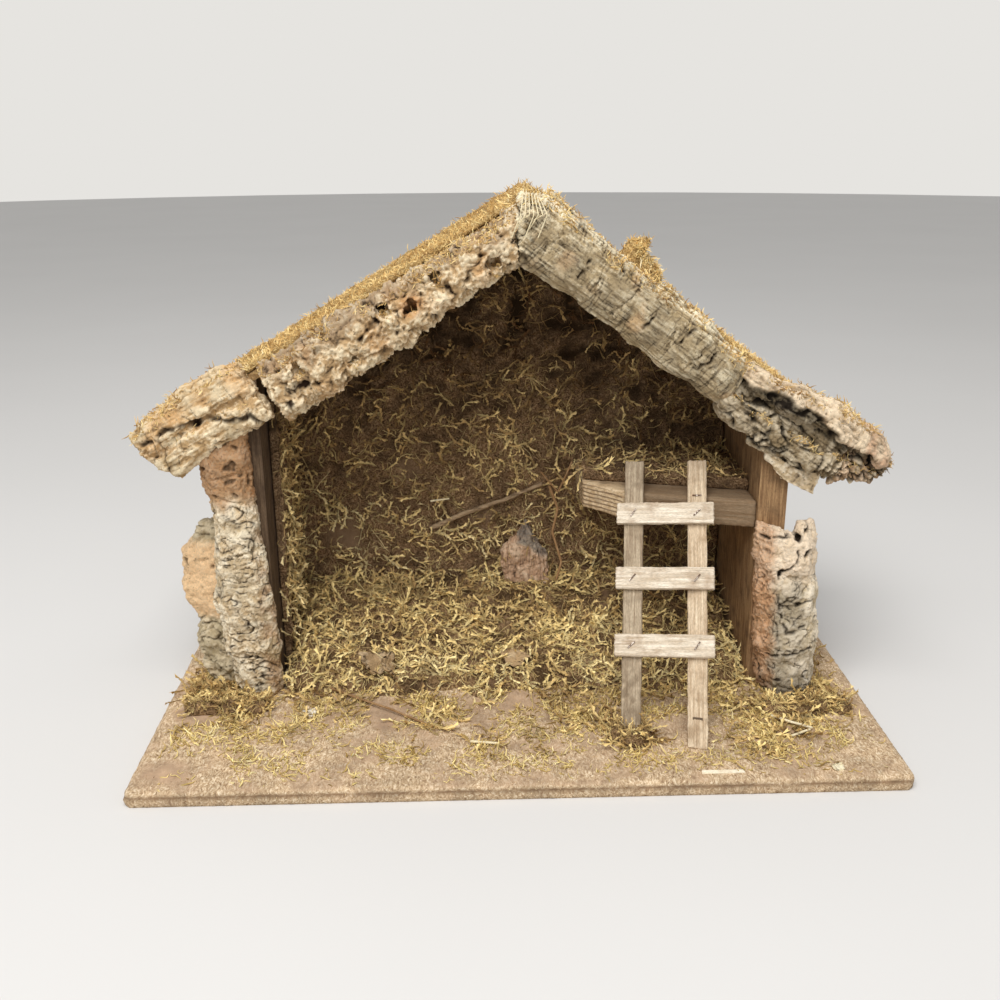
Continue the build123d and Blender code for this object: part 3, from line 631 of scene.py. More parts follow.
def grained(spot):
    """Grey cork with fibres along the slope crossed by fine straight seams, and a few deep cracks."""
    bent = warped(spot, 0.9, 5)
    fibre = noise.fractal(stretched(spot, 22, 1.2, 2.2), 0.7, 2.1, 4)
    cross = seams(bent, 3.4, 26, 0.13) * patchy(spot, 10, -0.4, 0.2)
    along = seams(bent, 34, 2.6, 0.13) * patchy(spot + UP, 12, -0.4, 0.2)
    lump = creased(stretched(bent, 1.6, 0.9, 1.2), 15)
    rough = crumbled(spot, 1.5)
    torn = warped(spot, 2.4, 5)
    crack = max(nearness(torn.x, torn.y, way, 1.7) for way in RIGHT_GABLE_CRACKS)
    crack = ease(crack, 0.15, 0.9) * patchy(spot, 4, -0.5, 0.2)
    ridge_end = ease(-spot.x, -20, -6)
    knob = ridge_end * (creased(bent, 8) - MEAN_LUMP)
    height = 2.2 * (lump - MEAN_LUMP) + 0.8 * fibre - 0.55 * cross - 0.45 * along - 2.0 * crack
    height = height + 0.3 * rough + 4.5 * knob
    # Painted shade in the cracks, seams, creases and between fibres; a painted highlight on the lumps,
    # fibres, the ridge end and the top edge.
    gap = 0.85 * crack + 0.6 * cross + 0.4 * along + 0.4 * sunk(lump, 0.2, 0.16)
    gap = clamp(gap + 0.55 * ease(-fibre, 0.15, 0.7) + 1.2 * ease(-knob, 0.12, 0.32))
    crest = 0.6 * lump + 0.5 * fibre + 0.2 * rough + 0.3 * ridge_end + 0.3 * ease(spot.y, -2, 4)
    crest = ease(crest, 0.2, 0.8)
    weathered = clamp(0.5 + 0.6 * wander(spot, 16) - 0.6 * ease(spot.y, -6, 0) - 0.6 * ridge_end)
    return height, gap, crest, weathered, 0.4 * patchy(spot + UP, 14, 0.25, 0.6)


def plated(spot):
    """A pale plate overhanging grey boulders with thin dark chinks and painted shade in the recess beneath
    it, layered towards the nose.
    """
    bent = warped(spot, 3.0, 9)
    ledge = bent.y - np.interp(bent.x, *zip(*RIGHT_EAVE_LEDGE))
    plate = ease(ledge, -1.5, 1.0)
    # Painted shade in the recess below the ledge: the cork there is sunk, darkened, greyed and kept from the
    # highlight.
    shaded_recess = (1 - plate) * ease(ledge, -10, -1)
    nose = ease(spot.x, 236, 252)
    inside, chance = cells(bent, 20 - 9 * nose, 12 - 7 * nose)
    chink = (1 - plate) * patchy(spot, 9, -0.45, 0.05) * (1 - ease(inside, 0.03, 0.13))
    crumb = creased(bent, 4.5)
    fibre = fibrous(spot, 14, 1.5, 2.5)
    lump = creased(bent, 13)
    rough = crumbled(spot, 1.8)
    boulder = 3.4 * (chance - 0.5) + 2.0 * ease(inside, 0, 0.5) - 2.2 * shaded_recess
    height = (1 - plate) * boulder + 2.2 * plate + 2.4 * (lump - MEAN_LUMP) + (crumb - MEAN_LUMP)
    height += 0.4 * fibre
    height += 0.6 * rough + 0.3 * fibre - 1.6 * chink
    # Painted shade in the chinks, creases and hollows; a painted highlight on the plate and the lumps.
    gap = 0.85 * chink + 0.4 * sunk(crumb, 0.16, 0.14) + 0.5 * ease(-fibre, 0.15, 0.6)
    gap += 0.4 * (1 - plate) * ease(-rough, 0.1, 0.6)
    gap = clamp(gap + 0.6 * sunk(lump, 0.18, 0.15) + 0.45 * shaded_recess)
    crest = clamp(0.5 * plate + ease(0.4 * chance + 0.5 * lump + 0.3 * fibre, 0.25, 0.8) * (1 - 0.5 * shaded_recess))
    # The weathered grey here is partly real weathering of the boulders and partly painted shade below the
    # ledge.
    weathered = (1 - plate) * (1 - nose) * (0.35 + 0.5 * shaded_recess)
    return height, gap, crest, weathered, 0.5 * nose * patchy(spot, 9, -0.2, 0.4) + 0.25 * plate


def left_post(spot):
    """Smooth orange cork with pits at the head, grey plates with level cracks and upright seams below."""
    bent = warped(spot, 1.6, 6)
    head = ease(spot.x + 9 * wander(spot, 11), 122, 142)
    plain = 1 - 0.8 * head
    level = seams(bent, 4.6, 12, 0.1) * patchy(spot, 8, -0.3, 0.15) * plain
    upright = seams(bent, 14, 5, 0.09) * patchy(spot + UP, 8, -0.1, 0.3) * plain
    chance = cells(bent, 6, 8)[1]
    lump = creased(bent, 13)
    crumb = creased(bent, 4.2)
    rough = crumbled(spot, 1.3)
    pit = patchy(spot, 4.5, 0.32, 0.55) * head
    height = 2.6 * (lump - MEAN_LUMP) + 0.8 * plain * (crumb - MEAN_LUMP) + 1.2 * plain * (chance - 0.5)
    height += 0.6 * rough
    height -= 1.1 * level + 0.8 * upright + 1.8 * pit
    # Painted shade in the cracks, seams, pits and creases; a painted highlight on the lumps, kept down on the
    # head.
    gap = level + 0.6 * upright + 0.7 * pit + 0.5 * sunk(lump, 0.2, 0.16)
    gap = clamp(gap + 0.4 * plain * sunk(crumb, 0.18, 0.15) + 0.3 * ease(-rough, 0.2, 0.8))
    crest = ease(0.5 * lump + 0.3 * crumb + 0.35 * chance + 0.2 * rough, 0.2, 0.8)
    edge = ease(spot.y, -166, -156) * patchy(spot, 9, -0.2, 0.3)
    weathered = clamp(0.2 + 0.7 * wander(spot, 15)) * (1 - head)
    return height, gap, crest * (1 - 0.5 * head), weathered, clamp(0.85 * head + 0.6 * edge)


def right_post(spot):
    """A pale head with dark holes, grey blocks between thin curved cracks, and a rough orange inner edge."""
    bent = warped(spot, 2.0, 7)
    head = ease(spot.x + 9 * wander(spot, 11), 70, 88)
    inner = ease(-spot.y + 3 * wander(spot, 7), -167, -160)
    foot = ease(-spot.x, -22, -8)
    torn = warped(spot, 1.6, 4)
    crack = max(nearness(torn.x, torn.y, way, 1.5) for way in RIGHT_POST_CRACKS)
    crack = ease(crack, 0.15, 0.9) * patchy(spot, 3.5, -0.6, 0.0)
    level = seams(bent, 4.6, 11, 0.09) * patchy(spot, 8, -0.15, 0.25) * (1 - 0.7 * head)
    upright = seams(bent, 13, 5, 0.09) * patchy(spot + UP, 8, -0.1, 0.3) * (1 - 0.7 * head)
    chance = cells(bent, 9, 9)[1]
    lump = creased(bent, 14)
    crumb = creased(bent, 4.4)
    rough = crumbled(spot, 1.3)
    pit = max(1 - math.hypot(torn.x - along, torn.y - across) / 3.6 for along, across in RIGHT_POST_HOLES)
    pit = ease(pit, 0.1, 0.7)
    saw = inner * abs((spot.x / 6.0 + wander(spot, 6)) % 1 - 0.5)
    height = 2.4 * (lump - MEAN_LUMP) + 0.9 * (crumb - MEAN_LUMP) + 1.2 * (chance - 0.5) + 0.55 * rough
    height -= 1.8 * crack + 0.9 * level + 0.7 * upright + 2.2 * pit + 1.6 * saw
    # Painted shade in the cracks, seams, holes, saw teeth and creases, and darker towards the foot; a painted
    # highlight on the lumps and the pale head.
    gap = 0.9 * crack + 0.9 * level + 0.7 * upright + pit + 0.5 * saw * ease(-rough, -0.2, 0.5)
    gap = clamp(gap + 0.4 * sunk(lump, 0.18, 0.15) + 0.3 * sunk(crumb, 0.15, 0.13) + 0.4 * foot)
    crest = ease(0.5 * lump + 0.3 * crumb + 0.3 * chance + 0.3 * head, 0.2, 0.75)
    core = ease(1 - abs(spot.y - 172 + 5 * wander(spot, 9)) / 17, 0.0, 0.5)
    weathered = clamp(0.15 + 0.75 * core + 0.5 * wander(spot, 12)) * (1 - head)
    return height, gap, crest, weathered, clamp(0.9 * inner * (1 - 0.4 * head) + 0.25 * head)


def side_crust(spot):
    """A grey spike, a smooth peach block with pits, and a layered crust towards the foot."""
    bent = warped(spot, 2.0, 8)
    smooth = ease(spot.x + 5 * wander(spot, 9), 46, 54) * ease(-spot.x, -104, -96)
    level = (1 - smooth) * seams(bent, 5, 13, 0.14) * patchy(spot, 8, -0.3, 0.1)
    chance = cells(bent, 7, 11)[1]
    lump = creased(bent, 13)
    crumb = creased(bent, 4.4)
    rough = crumbled(spot, 1.6)
    pit = smooth * patchy(spot, 4.5, 0.38, 0.58)
    crust = 1.6 * (chance - 0.5) + 1.4 * (crumb - MEAN_LUMP)
    height = 2.8 * (lump - MEAN_LUMP) + (1 - smooth) * crust + 0.4 * rough
    height -= 1.5 * level + 1.8 * pit
    # Painted shade in the creases, seams and pits; a painted highlight on the lumps.
    crease = 0.5 * sunk(lump, 0.22, 0.18) + 0.3 * sunk(crumb, 0.18, 0.15)
    gap = clamp(0.9 * level + 0.8 * pit + (1 - smooth) * crease)
    crest = ease(0.5 * lump + 0.35 * crumb + 0.2 * chance, 0.2, 0.7)
    return height, gap, crest, (1 - smooth) * clamp(0.5 + 0.5 * wander(spot, 12)), smooth


def flaked(spot):
    """A thin flake with fibres and creases."""
    fibre = fibrous(spot, 14, 1.5, 2.5)
    lump = creased(spot, 9)
    # Painted shade in the creases and between fibres; a painted highlight on the lumps.
    gap = 0.8 * sunk(lump, 0.2, 0.18) + 0.3 * ease(-fibre, 0.2, 0.7)
    return 0.5 * fibre + 2.0 * (lump - MEAN_LUMP), gap, ease(lump + 0.3 * fibre, 0.2, 0.6), 0.1, 0.1


def twiggy(spot):
    """A thin dry twig, finely ridged along its length."""
    ridge_line = fibrous(spot, 1.4, 15, 1.4, 0.8, 3)
    height = 0.22 * ridge_line + 0.35 * wander(spot, 8)
    # Painted shade between the ridges and a painted highlight on them.
    return height, 0.5 * ease(-ridge_line, 0.1, 0.6), ease(ridge_line, -0.2, 0.6), 0.3, 0.2


def chipped(spot):
    """A bark chip, dark grey towards its top right and brown below, split along its height."""
    fibre = fibrous(spot, 12, 1.6, 2.0)
    lump = creased(warped(spot, 2, 6), 10)
    grey = ease(spot.x + spot.y + 12 * wander(spot, 7), 74, 84)
    # Painted shade in the creases and between fibres; a painted highlight on the lumps and fibres.
    gap = clamp(0.8 * sunk(lump, 0.2, 0.18) + 0.5 * ease(-fibre, 0.15, 0.6))
    crest = ease(lump + 0.4 * fibre + 0.4 * wander(spot, 6), 0.2, 0.8)
    return 0.8 * fibre + 3.6 * (lump - MEAN_LUMP), gap, crest, 0.9 * grey, 0.5 * (1 - grey)


def dress_bark(node, place, style, material, face=0.7, mossy=TO_FRONT, glued=TO_BACK):
    """Carves a bark node's skin in its style, leaves its glued face flat, and marks where moss can grow."""

    def relief(point, normal):
        height, gap, crest, weathered, fresh = style(place(point))
        free = ease(-normal.dot(glued), -0.75, -0.35)
        # The finish gets painted shade in the bark's gaps, kept off the glued face, and a painted highlight
        # on its crests.
        values = {"gap": free * gap, "crest": crest, "weathered": weathered, "fresh": fresh}
        values["growth"] = ease(normal.dot(mossy), 0.4, 0.8) * patchy(point, 13, -0.35, 0.15)
        values["hue"] = 0.45 + 0.3 * wander(point, 20)
        return normal * (free * height), values

    return add_piece(node + "_cork", carve(skin_of(node, face, smoothing=6), relief), material, [node])


left_slope = on_slope(-1, LEFT_PITCH)
right_slope = on_slope(1, RIGHT_PITCH)
left_up = Vector((-math.sin(LEFT_PITCH), 0, math.cos(LEFT_PITCH)))
right_up = Vector((math.sin(RIGHT_PITCH), 0, math.cos(RIGHT_PITCH)))
mossy_bark = [
    dress_bark("left_gable_bark", left_slope, nodular, nodular_cork, 0.7, left_up),
    dress_bark("left_eave_bark", left_slope, split, split_cork, 0.65, left_up),
    dress_bark("right_gable_bark", right_slope, grained, grained_cork, 0.7, right_up),
    dress_bark("right_eave_bark", right_slope, plated, plated_cork, 0.65, right_up),
]
dress_bark("right_eave_flake", right_slope, flaked, flake_cork, 0.6)
dress_bark("left_post_bark", on_post, left_post, post_cork)
dress_bark("right_post_bark", on_post, right_post, right_post_cork)
dress_bark("left_side_bark", on_side, side_crust, side_cork, 0.9, glued=TO_RIGHT)
chip = dress_bark("bark_chip", on_post, chipped, chip_bark, 0.6)
dress_bark("twig", on_post, twiggy, twig_bark, 0.5)


# Wood


def grain_axes(mesh, along=None):
    """Rows that read a point across, along and through a stick, its grain running along its longest way."""
    points = np.array([vertex.co for vertex in mesh.vertices])
    longest = Vector(np.linalg.svd(points - points.mean(axis=0), full_matrices=False)[2][0])
    along = along or longest
    through = along.cross(UP if abs(along.z) < 0.9 else TO_FRONT).normalized()
    return Matrix((along.cross(through), along, through))


def keep_grain(mesh, axes):
    """Keeps where each vertex lies in the wood's grain, for the finish to read."""
    places = []
    for vertex in mesh.vertices:
        places.extend(axes @ vertex.co)
    mesh.attributes.new("grain", "FLOAT_VECTOR", "POINT").data.foreach_set("vector", places)


def unsoiled(point, normal):
    return {}


def dress_wood(node, material, face, roughness, along=None, soil=unsoiled):
    """Wears a stick of wood along its grain, frays its ends and darkens it where soil says: dirt on the left
    rail, painted shade on the loft.
    """
    mesh = skin_of(node, face, smoothing=3)
    axes = grain_axes(mesh, along)

    def relief(point, normal):
        spot = axes @ point
        end = ease(abs((axes @ normal).y), 0.6, 0.9)
        groove = fibrous(spot, 1.2, 35, 1.2, 0.9, 3)
        wear = wander(spot, 10) + 0.4 * wander(spot, 4)
        fray = noise.noise(stretched(spot, 1.1, 6, 1.1))
        height = roughness * ((1 - end) * (groove + 0.9 * wear) + 2.2 * end * fray)
        return height * normal, soil(point, normal)

    keep_grain(mesh, axes)
    add_piece(node + "_worn", carve(mesh, relief), material, [node])


def foot_soil(point, normal):
    """Dirt on a rail that grows towards its foot."""
    low = ease(-point.z + 14 * wander(point, 9), -66, -34)
    return {"soiled": 0.7 * low * blotchy(point, 5, -0.4, 0.4, 2)}


loft_edge = Vector((math.cos(LOFT_TURN), -math.sin(LOFT_TURN), 0))


def loft_sawn_end_and_shade(point, normal):
    """A sawn end with growth lines, and painted shade that grows along the loft's front edge."""
    sawn = ease(-normal.dot(loft_edge), 0.35, 0.55)
    # Painted shade: the soiled value darkens the loft towards its right end, nearer the roof.
    return {"sawn": sawn, "soiled": 0.8 * (1 - sawn) * ease(point.x + 10 * wander(point, 12), 62, 92)}


dress_wood("ladder_left_rail", left_rail_wood, face=0.8, roughness=0.35, soil=foot_soil)
dress_wood("ladder_right_rail", right_rail_wood, face=0.8, roughness=0.35)
for rung in ("ladder_top_rung", "ladder_middle_rung", "ladder_bottom_rung"):
    dress_wood(rung, rung_wood, face=0.7, roughness=0.35)
dress_wood("loft_board", loft_wood, face=1.4, roughness=0.4, along=loft_edge, soil=loft_sawn_end_and_shade)
dress_wood("wood_splinter", splinter_wood, face=0.3, roughness=0.15)


# Moss

# A strand's roll about its own length, and where strands lie on their map: shade across, root to tip up.
STRAND_ROLL = 0.7
SHADE_RANGE = (0.02, 0.92)
SHADE_WIDTH = 0.06
TIP_RANGE = (0.02, 0.98)


def strand(name, length, thickness, curl, beads, steps, leaves, seed):
    """One strand lying along X: a three-sided stem that bends, swells at its beads and may bear leaves."""
    dice = random.Random(seed)
    form = bmesh.new()
    along = form.verts.layers.float.new("along")
    around = form.verts.layers.float.new("around")
    across_x = Matrix.Rotation(math.pi / 2, 4, "Y")
    radius = thickness / 2 * MM
    start = bmesh.ops.create_circle(form, cap_ends=True, segments=3, radius=radius, matrix=across_x)
    for number, vertex in enumerate(start["verts"]):
        vertex[around] = number / 2
    form.faces.ensure_lookup_table()
    tip = form.faces[0]
    width = 1.0
    centre = Vector()
    heading = Matrix.Identity(3)
    for step in range(1, steps + 1):
        grown = bmesh.ops.extrude_face_region(form, geom=[tip])["geom"]
        if step > 1:
            bmesh.ops.delete(form, geom=[tip], context="FACES_ONLY")
        verts = [part for part in grown if isinstance(part, bmesh.types.BMVert)]
        tip = next(part for part in grown if isinstance(part, bmesh.types.BMFace))
        bend = Matrix.Rotation(curl * dice.uniform(-0.2, 1.5), 3, "Z")
        bend = bend @ Matrix.Rotation(curl * dice.uniform(-0.9, 0.9), 3, "Y")
        bend = bend @ Matrix.Rotation(beads * dice.uniform(-1, 1), 3, "X")
        forward = heading @ Vector((length / steps * MM, 0, 0))
        centre = centre + forward
        leafy = dice.uniform(0.2, 0.9) if step % 2 else -dice.uniform(0.2, 0.5)
        wanted = 0.25 if step == steps else 1 + beads * leafy
        narrow = wanted / width
        width = wanted
        bmesh.ops.translate(form, verts=verts, vec=forward)
        bmesh.ops.rotate(form, verts=verts, cent=centre, matrix=heading @ bend @ heading.inverted())
        bmesh.ops.scale(form, verts=verts, vec=(narrow, narrow, narrow), space=Matrix.Translation(-centre))
        heading = heading @ bend
        for vertex in verts:
            vertex[along] = step / steps
    bmesh.ops.recalc_face_normals(form, faces=form.faces)
    if leaves:
        sides = [face for face in form.faces if len(face.verts) == 4]
        for leaf in bmesh.ops.poke(form, faces=sides, offset=leaves * MM)["verts"]:
            corners = [edge.other_vert(leaf) for edge in leaf.link_edges]
            leaf[along] = sum(corner[along] for corner in corners) / len(corners)
            leaf[around] = dice.uniform(0, 1)
            ahead = max(corners, key=lambda corner: corner[along])
            behind = min(corners, key=lambda corner: corner[along])
            leaf.co += dice.uniform(0.2, 0.9) * (ahead.co - behind.co)
    return bpy.data.objects.new(name, meshed(form, name))


def strand_kit(name, count, length, thickness, curl, beads, steps, leaves=0.0):
    """A kit of differing strands to sow."""
    kit = bpy.data.collections.new(name)
    for number in range(count):
        size = length * (0.6 + 0.8 * number / (count - 1))
        way = curl if number % 2 else -curl
        kit.objects.link(strand(f"{name}_{number}", size, thickness, way, beads, steps, leaves, number))
    return kit


def named(tree, name):
    """A value that a mesh keeps under a name."""
    return add(tree, "GeometryNodeInputNamedAttribute", {"Name": name}, data_type="FLOAT").outputs[0]


def drawn(tree, limits, seed):
    """A random value between two limits for each strand."""
    inputs = {2: limits[0], 3: limits[1], "Seed": seed}
    return add(tree, "FunctionNodeRandomValue", inputs, data_type="FLOAT").outputs[1]


def stored(tree, geometry, name, value, kind, domain):
    """A geometry that keeps a value under a name."""
    inputs = {"Geometry": geometry, "Name": name, "Value": value}
    return add(tree, "GeometryNodeStoreNamedAttribute", inputs, data_type=kind, domain=domain).outputs[0]


def sowing(kit, per_square_cm, sizes, lift, tints, seed, growth_value="growth"):
    tree = bpy.data.node_groups.new("sowing", "GeometryNodeTree")
    for way in ("INPUT", "OUTPUT"):
        tree.interface.new_socket("Geometry", in_out=way, socket_type="NodeSocketGeometry")
    bed = add(tree, "NodeGroupInput").outputs[0]
    density = worked(tree, named(tree, growth_value), per_square_cm * SQUARE_CM_IN_SQUARE_M, "MULTIPLY")
    spots = add(tree, "GeometryNodeDistributePointsOnFaces", {"Mesh": bed, "Density": density, "Seed": seed})
    ways = {0: (-STRAND_ROLL, -lift[1], 0), 1: (STRAND_ROLL, -lift[0], 2 * math.pi), "Seed": seed + 1}
    way = add(tree, "FunctionNodeRandomValue", ways, data_type="FLOAT_VECTOR").outputs[0]
    turn = add(tree, "FunctionNodeEulerToRotation", {0: way}).outputs[0]
    turning = {0: spots.outputs["Rotation"], 1: turn}
    turned = add(tree, "FunctionNodeRotateRotation", turning, rotation_space="LOCAL").outputs[0]
    numbers = {4: 0, 5: len(kit.objects) - 1, "Seed": seed + 2}
    choice = add(tree, "FunctionNodeRandomValue", numbers, data_type="INT").outputs[2]
    strands = {"Collection": kit, "Separate Children": True, "Reset Children": True}
    sown = {
        "Points": spots.outputs["Points"],
        "Instance": add(tree, "GeometryNodeCollectionInfo", strands).outputs[0],
        "Pick Instance": True,
        "Instance Index": choice,
        "Rotation": turned,
        "Scale": drawn(tree, sizes, seed + 3),
    }
    grown = add(tree, "GeometryNodeInstanceOnPoints", sown).outputs[0]
    hue = worked(tree, named(tree, "hue"), drawn(tree, tints, seed + 4), "ADD")
    tinted = stored(tree, grown, "tint", spread(tree, hue, 0, 1, *SHADE_RANGE), "FLOAT", "INSTANCE")
    real = add(tree, "GeometryNodeRealizeInstances", {0: tinted}).outputs[0]
    aside = worked(tree, named(tree, "around"), SHADE_WIDTH, "MULTIPLY")
    across = worked(tree, named(tree, "tint"), aside, "ADD")
    upward = spread(tree, named(tree, "along"), 0, 1, *TIP_RANGE)
    spot = add(tree, "ShaderNodeCombineXYZ", {0: across, 1: upward}).outputs[0]
    mapped = stored(tree, real, "OFBake", spot, "FLOAT2", "CORNER")
    add(tree, "NodeGroupOutput", {0: mapped})
    return tree


def sow(name, bed, sowing_tree, material):
    """Grows the strands of a sowing on a bed as a piece of their own."""
    mesh = applied(bed.copy(), ("NODES", {"node_group": sowing_tree}))
    for spare in [value.name for value in mesh.attributes if value.data_type == "FLOAT"]:
        mesh.attributes.remove(mesh.attributes[spare])
    return add_piece(name, mesh, material)


def clumped(point, size=9):
    """1 inside a clump of moss and 0 between clumps."""
    return blotchy(point, size, -0.3, 0.3, 2)


def swelling(point, size):
    """Rounded swellings of a moss bed, about size apart."""
    return wander(point, size) + 0.5 * wander(point, 0.4 * size)


def under_roof(point):
    """How far a point lies below the roof's underside, in millimetres."""
    fall = math.tan(LEFT_PITCH if point.x < ridge.x else RIGHT_PITCH)
    return ridge.z - abs(point.x - ridge.x) * fall - ROOF_DEPTH - point.z


def spotted(point, spots):
    """The strongest of a list of round spots at a point."""
    torn = warped(point, 7, 9)
    found = []
    for (x, y), reach, depth in spots:
        found.append(depth * ease(1 - math.hypot(torn.x - x, torn.y - y) / reach, 0.0, 0.6))
    return max(found)


def roof_relief(up):
    """Thin moss pressed on the roof, hanging a little over the front edge, golden in patches."""

    def relief(point, normal):
        top = ease(normal.dot(up), 0.0, 0.6)
        front = ease(normal.dot(TO_FRONT), 0.3, 0.8)
        lump = swelling(point, 13)
        # Painted highlight and shade: the tone rises a little on the swellings and falls in the hollows.
        tone = 0.42 + 0.3 * wander(point, 26) + 0.08 * lump
        seen = 0.45 + 0.55 * ease(-point.y, -60, -20)
        growth = top * (0.5 + 0.5 * clumped(point)) * seen + 0.8 * front
        return top * (1.4 * lump - 0.6) * normal, {"growth": growth, "hue": tone}

    return relief


right_down = Vector((right_up.z, 0, -right_up.x))
tuft_middle = (Vector(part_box("roof_tuft_moss")[0]) + Vector(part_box("roof_tuft_moss")[1])) / 2 / MM


def tuft_relief(point, normal):
    """A golden tuft on the right slope, low and drawn out downhill, with a taller lobe at its upper end."""
    offset = point - tuft_middle
    rise = max(offset.dot(right_up) + TUFT_HALF_HEIGHT, 0)
    downhill = offset.dot(right_down)
    aside = offset - offset.dot(right_up) * right_up
    lobe = ease(-downhill, 1, 7)
    lump = swelling(point, 11)
    shift = (0.42 * lobe - 0.5) * rise * right_up + 0.35 * max(downhill, 0) * right_down
    shift -= 0.018 * rise * aside
    # Painted highlight and shade: the tone rises on the swellings and falls in the hollows.
    values = {"growth": ease(normal.dot(right_up), -0.2, 0.5), "hue": 0.66 - 0.16 * lobe + 0.25 * lump}
    return shift + 2.6 * lump * normal, values


def room_relief(facing):
    """Moss on the room's walls, in clumps that stay off the twig, with painted shade that deepens towards the
    roof.
    """

    def relief(point, normal):
        open_side = ease(normal.dot(facing), 0.0, 0.5) * ease(under_roof(point), 2, 14)
        open_side *= ease(point.z, 20, 34)
        lump = swelling(point, 12)
        # Painted shade: the tone darkens towards the roof and in the hollows, and lightens on the swellings.
        tone = 0.76 - 0.6 * ease(point.z, 70, 250) + 0.26 * wander(point, 22) + 0.16 * lump
        clear = 1 - ease(nearness(point.x, point.z, TWIG_LINE, 6), 0.2, 0.8) * ease(point.y, 80, 90)
        bare = ease(point.y, 80, 90) * spotted(Vector((point.x, point.z, 0)), WALL_BARE)
        thick = 0.1 + 0.45 * clumped(point) + 0.45 * clumped(point, 24)
        growth = open_side * thick * clear * (1 - bare)
        # Painted shade between thin strands, deepening towards the roof.
        gap = clamp(0.5 - 1.2 * thick + 0.8 * ease(point.z, 110, 250)) * (1 - bare)
        return open_side * 3.0 * lump * normal, {"growth": growth, "hue": tone, "gap": gap, "soiled": bare}

    return relief


def floor_relief(point, normal):
    """A mound of moss that thins out raggedly towards the yard."""
    open_side = ease(normal.z, -0.1, 0.4)
    edge = ease(point.y + 12 * wander(point, 18), FLOOR_MOSS_END - 10, FLOOR_MOSS_END + 12)
    sink = (1 - edge) * (deck - 2.5 - point.z)
    lump = swelling(point, 12)
    # Painted light: the tone lightens towards the open front and on the swellings, and darkens in the
    # hollows.
    tone = 0.54 + 0.3 * ease(-point.y, -70, 10) + 0.26 * wander(point, 24) + 0.2 * lump
    shift = edge * open_side * 3.8 * lump * normal + sink * UP
    thick = 0.15 + 0.45 * clumped(point, 10) + 0.4 * clumped(point, 26)
    # Painted shade between thin strands.
    values = {"growth": open_side * edge * thick, "hue": tone, "gap": clamp(0.9 - 1.5 * thick)}
    values["soiled"] = 0.8 * patchy(point, 15, 0.25, 0.5)
    return shift, values


def pad_relief(point, normal):
    """A low ragged pad of moss."""
    open_side = ease(normal.z, 0.6, 0.85)
    there = blotchy(point, 12, -0.5, 0.15, 2)
    sink = (1 - there) * (deck - 1.5 - point.z)
    shift = there * open_side * 1.2 * swelling(point, 8) * normal + sink * UP
    return shift, {"growth": open_side * there, "hue": 0.45 + 0.2 * wander(point, 11)}


def dress_moss(node, face, relief, bed_finish, sowings, strand_material):
    """Turns a moss node into a lumpy bed with strands sown over it."""
    bed = carve(skin_of(node, face, smoothing=3), relief)
    for number, settings in enumerate(sowings):
        tree = sowing(*settings, seed=7 * number + 1)
        sow(f"{node}_strands_{number + 1}", bed, tree, strand_material)
    add_piece(node + "_bed", bed, bed_finish, [node])


# Kits: how many strands differ, their length, thickness, curl, beads, steps and leaves.
shoots = strand_kit("shoots", 12, 9, 0.5, 0.85, 0.5, 3)
sprigs = strand_kit("sprigs", 14, 14, 0.42, 0.55, 0.8, 4, 1.3)
crumbs = strand_kit("crumbs", 10, 4, 0.5, 1.1, 0.4, 3)
grit = strand_kit("grit", 8, 1.6, 0.45, 0.8, 0.5, 2)
tufts = strand_kit("tufts", 12, 7, 0.85, 1.1, 0.6, 3)
hairs = strand_kit("hairs", 5, 26, 0.5, 0.35, 0, 5)

ANY_TINT = (-0.34, 0.34)
roof_sowings = [
    (shoots, 13, (0.3, 0.85), (-0.1, 0.12), ANY_TINT),
    (crumbs, 20, (0.6, 1.6), (-0.1, 0.2), (-0.25, 0.4)),
]
dress_moss("left_roof_moss", 2.6, roof_relief(left_up), roof_bed, roof_sowings, roof_strands)
dress_moss("right_roof_moss", 2.6, roof_relief(right_up), roof_bed, roof_sowings, roof_strands)
tuft_sowing = (crumbs, 90, (0.7, 1.5), (-0.3, 0.15), (-0.3, 0.3))
dress_moss("roof_tuft_moss", 1.8, tuft_relief, roof_bed, [tuft_sowing], roof_strands)
fringe = (crumbs, 45, (0.5, 1.4), (-0.2, 0.12), ANY_TINT)
for number, bark in enumerate(mossy_bark):
    sow(bark.name + "_moss", bark.data, sowing(*fringe, seed=40 + number), roof_strands)
wall_sowings = [
    (shoots, 10, (0.4, 1.2), (-0.15, 0.4), (-0.4, 0.2)),
    (sprigs, 5, (0.4, 1.1), (-0.1, 0.5), (-0.3, 0.25)),
]
back_sowings = wall_sowings + [(hairs, 0.3, (0.4, 0.9), (0.0, 0.4), (0.0, 0.4))]
dress_moss("back_wall_moss", 2.8, room_relief(TO_FRONT), wall_bed, back_sowings, wall_strands)
dress_moss("left_wall_moss", 2.0, room_relief(TO_RIGHT), wall_bed, wall_sowings, wall_strands)
floor_sowings = [
    (shoots, 18, (0.45, 1.2), (-0.2, 0.5), (-0.45, 0.2)),
    (sprigs, 10, (0.4, 1.15), (-0.1, 0.5), (-0.35, 0.25)),
    (hairs, 0.5, (0.4, 0.9), (0.15, 0.5), (0.0, 0.4)),
]
dress_moss("floor_moss", 2.4, floor_relief, floor_bed, floor_sowings, floor_strands)
dress_moss("loft_moss", 2.0, room_relief(UP), wall_bed, wall_sowings, wall_strands)
pad_sowings = [
    (shoots, 26, (0.45, 1.1), (-0.1, 0.6), (-0.4, 0.3)),
    (sprigs, 14, (0.35, 0.9), (0.15, 0.6), (-0.3, 0.35)),
]
for pad in ("left_foot_moss", "right_foot_moss", "ladder_foot_moss"):
    dress_moss(pad, 1.5, pad_relief, floor_bed, pad_sowings, floor_strands)


# Base

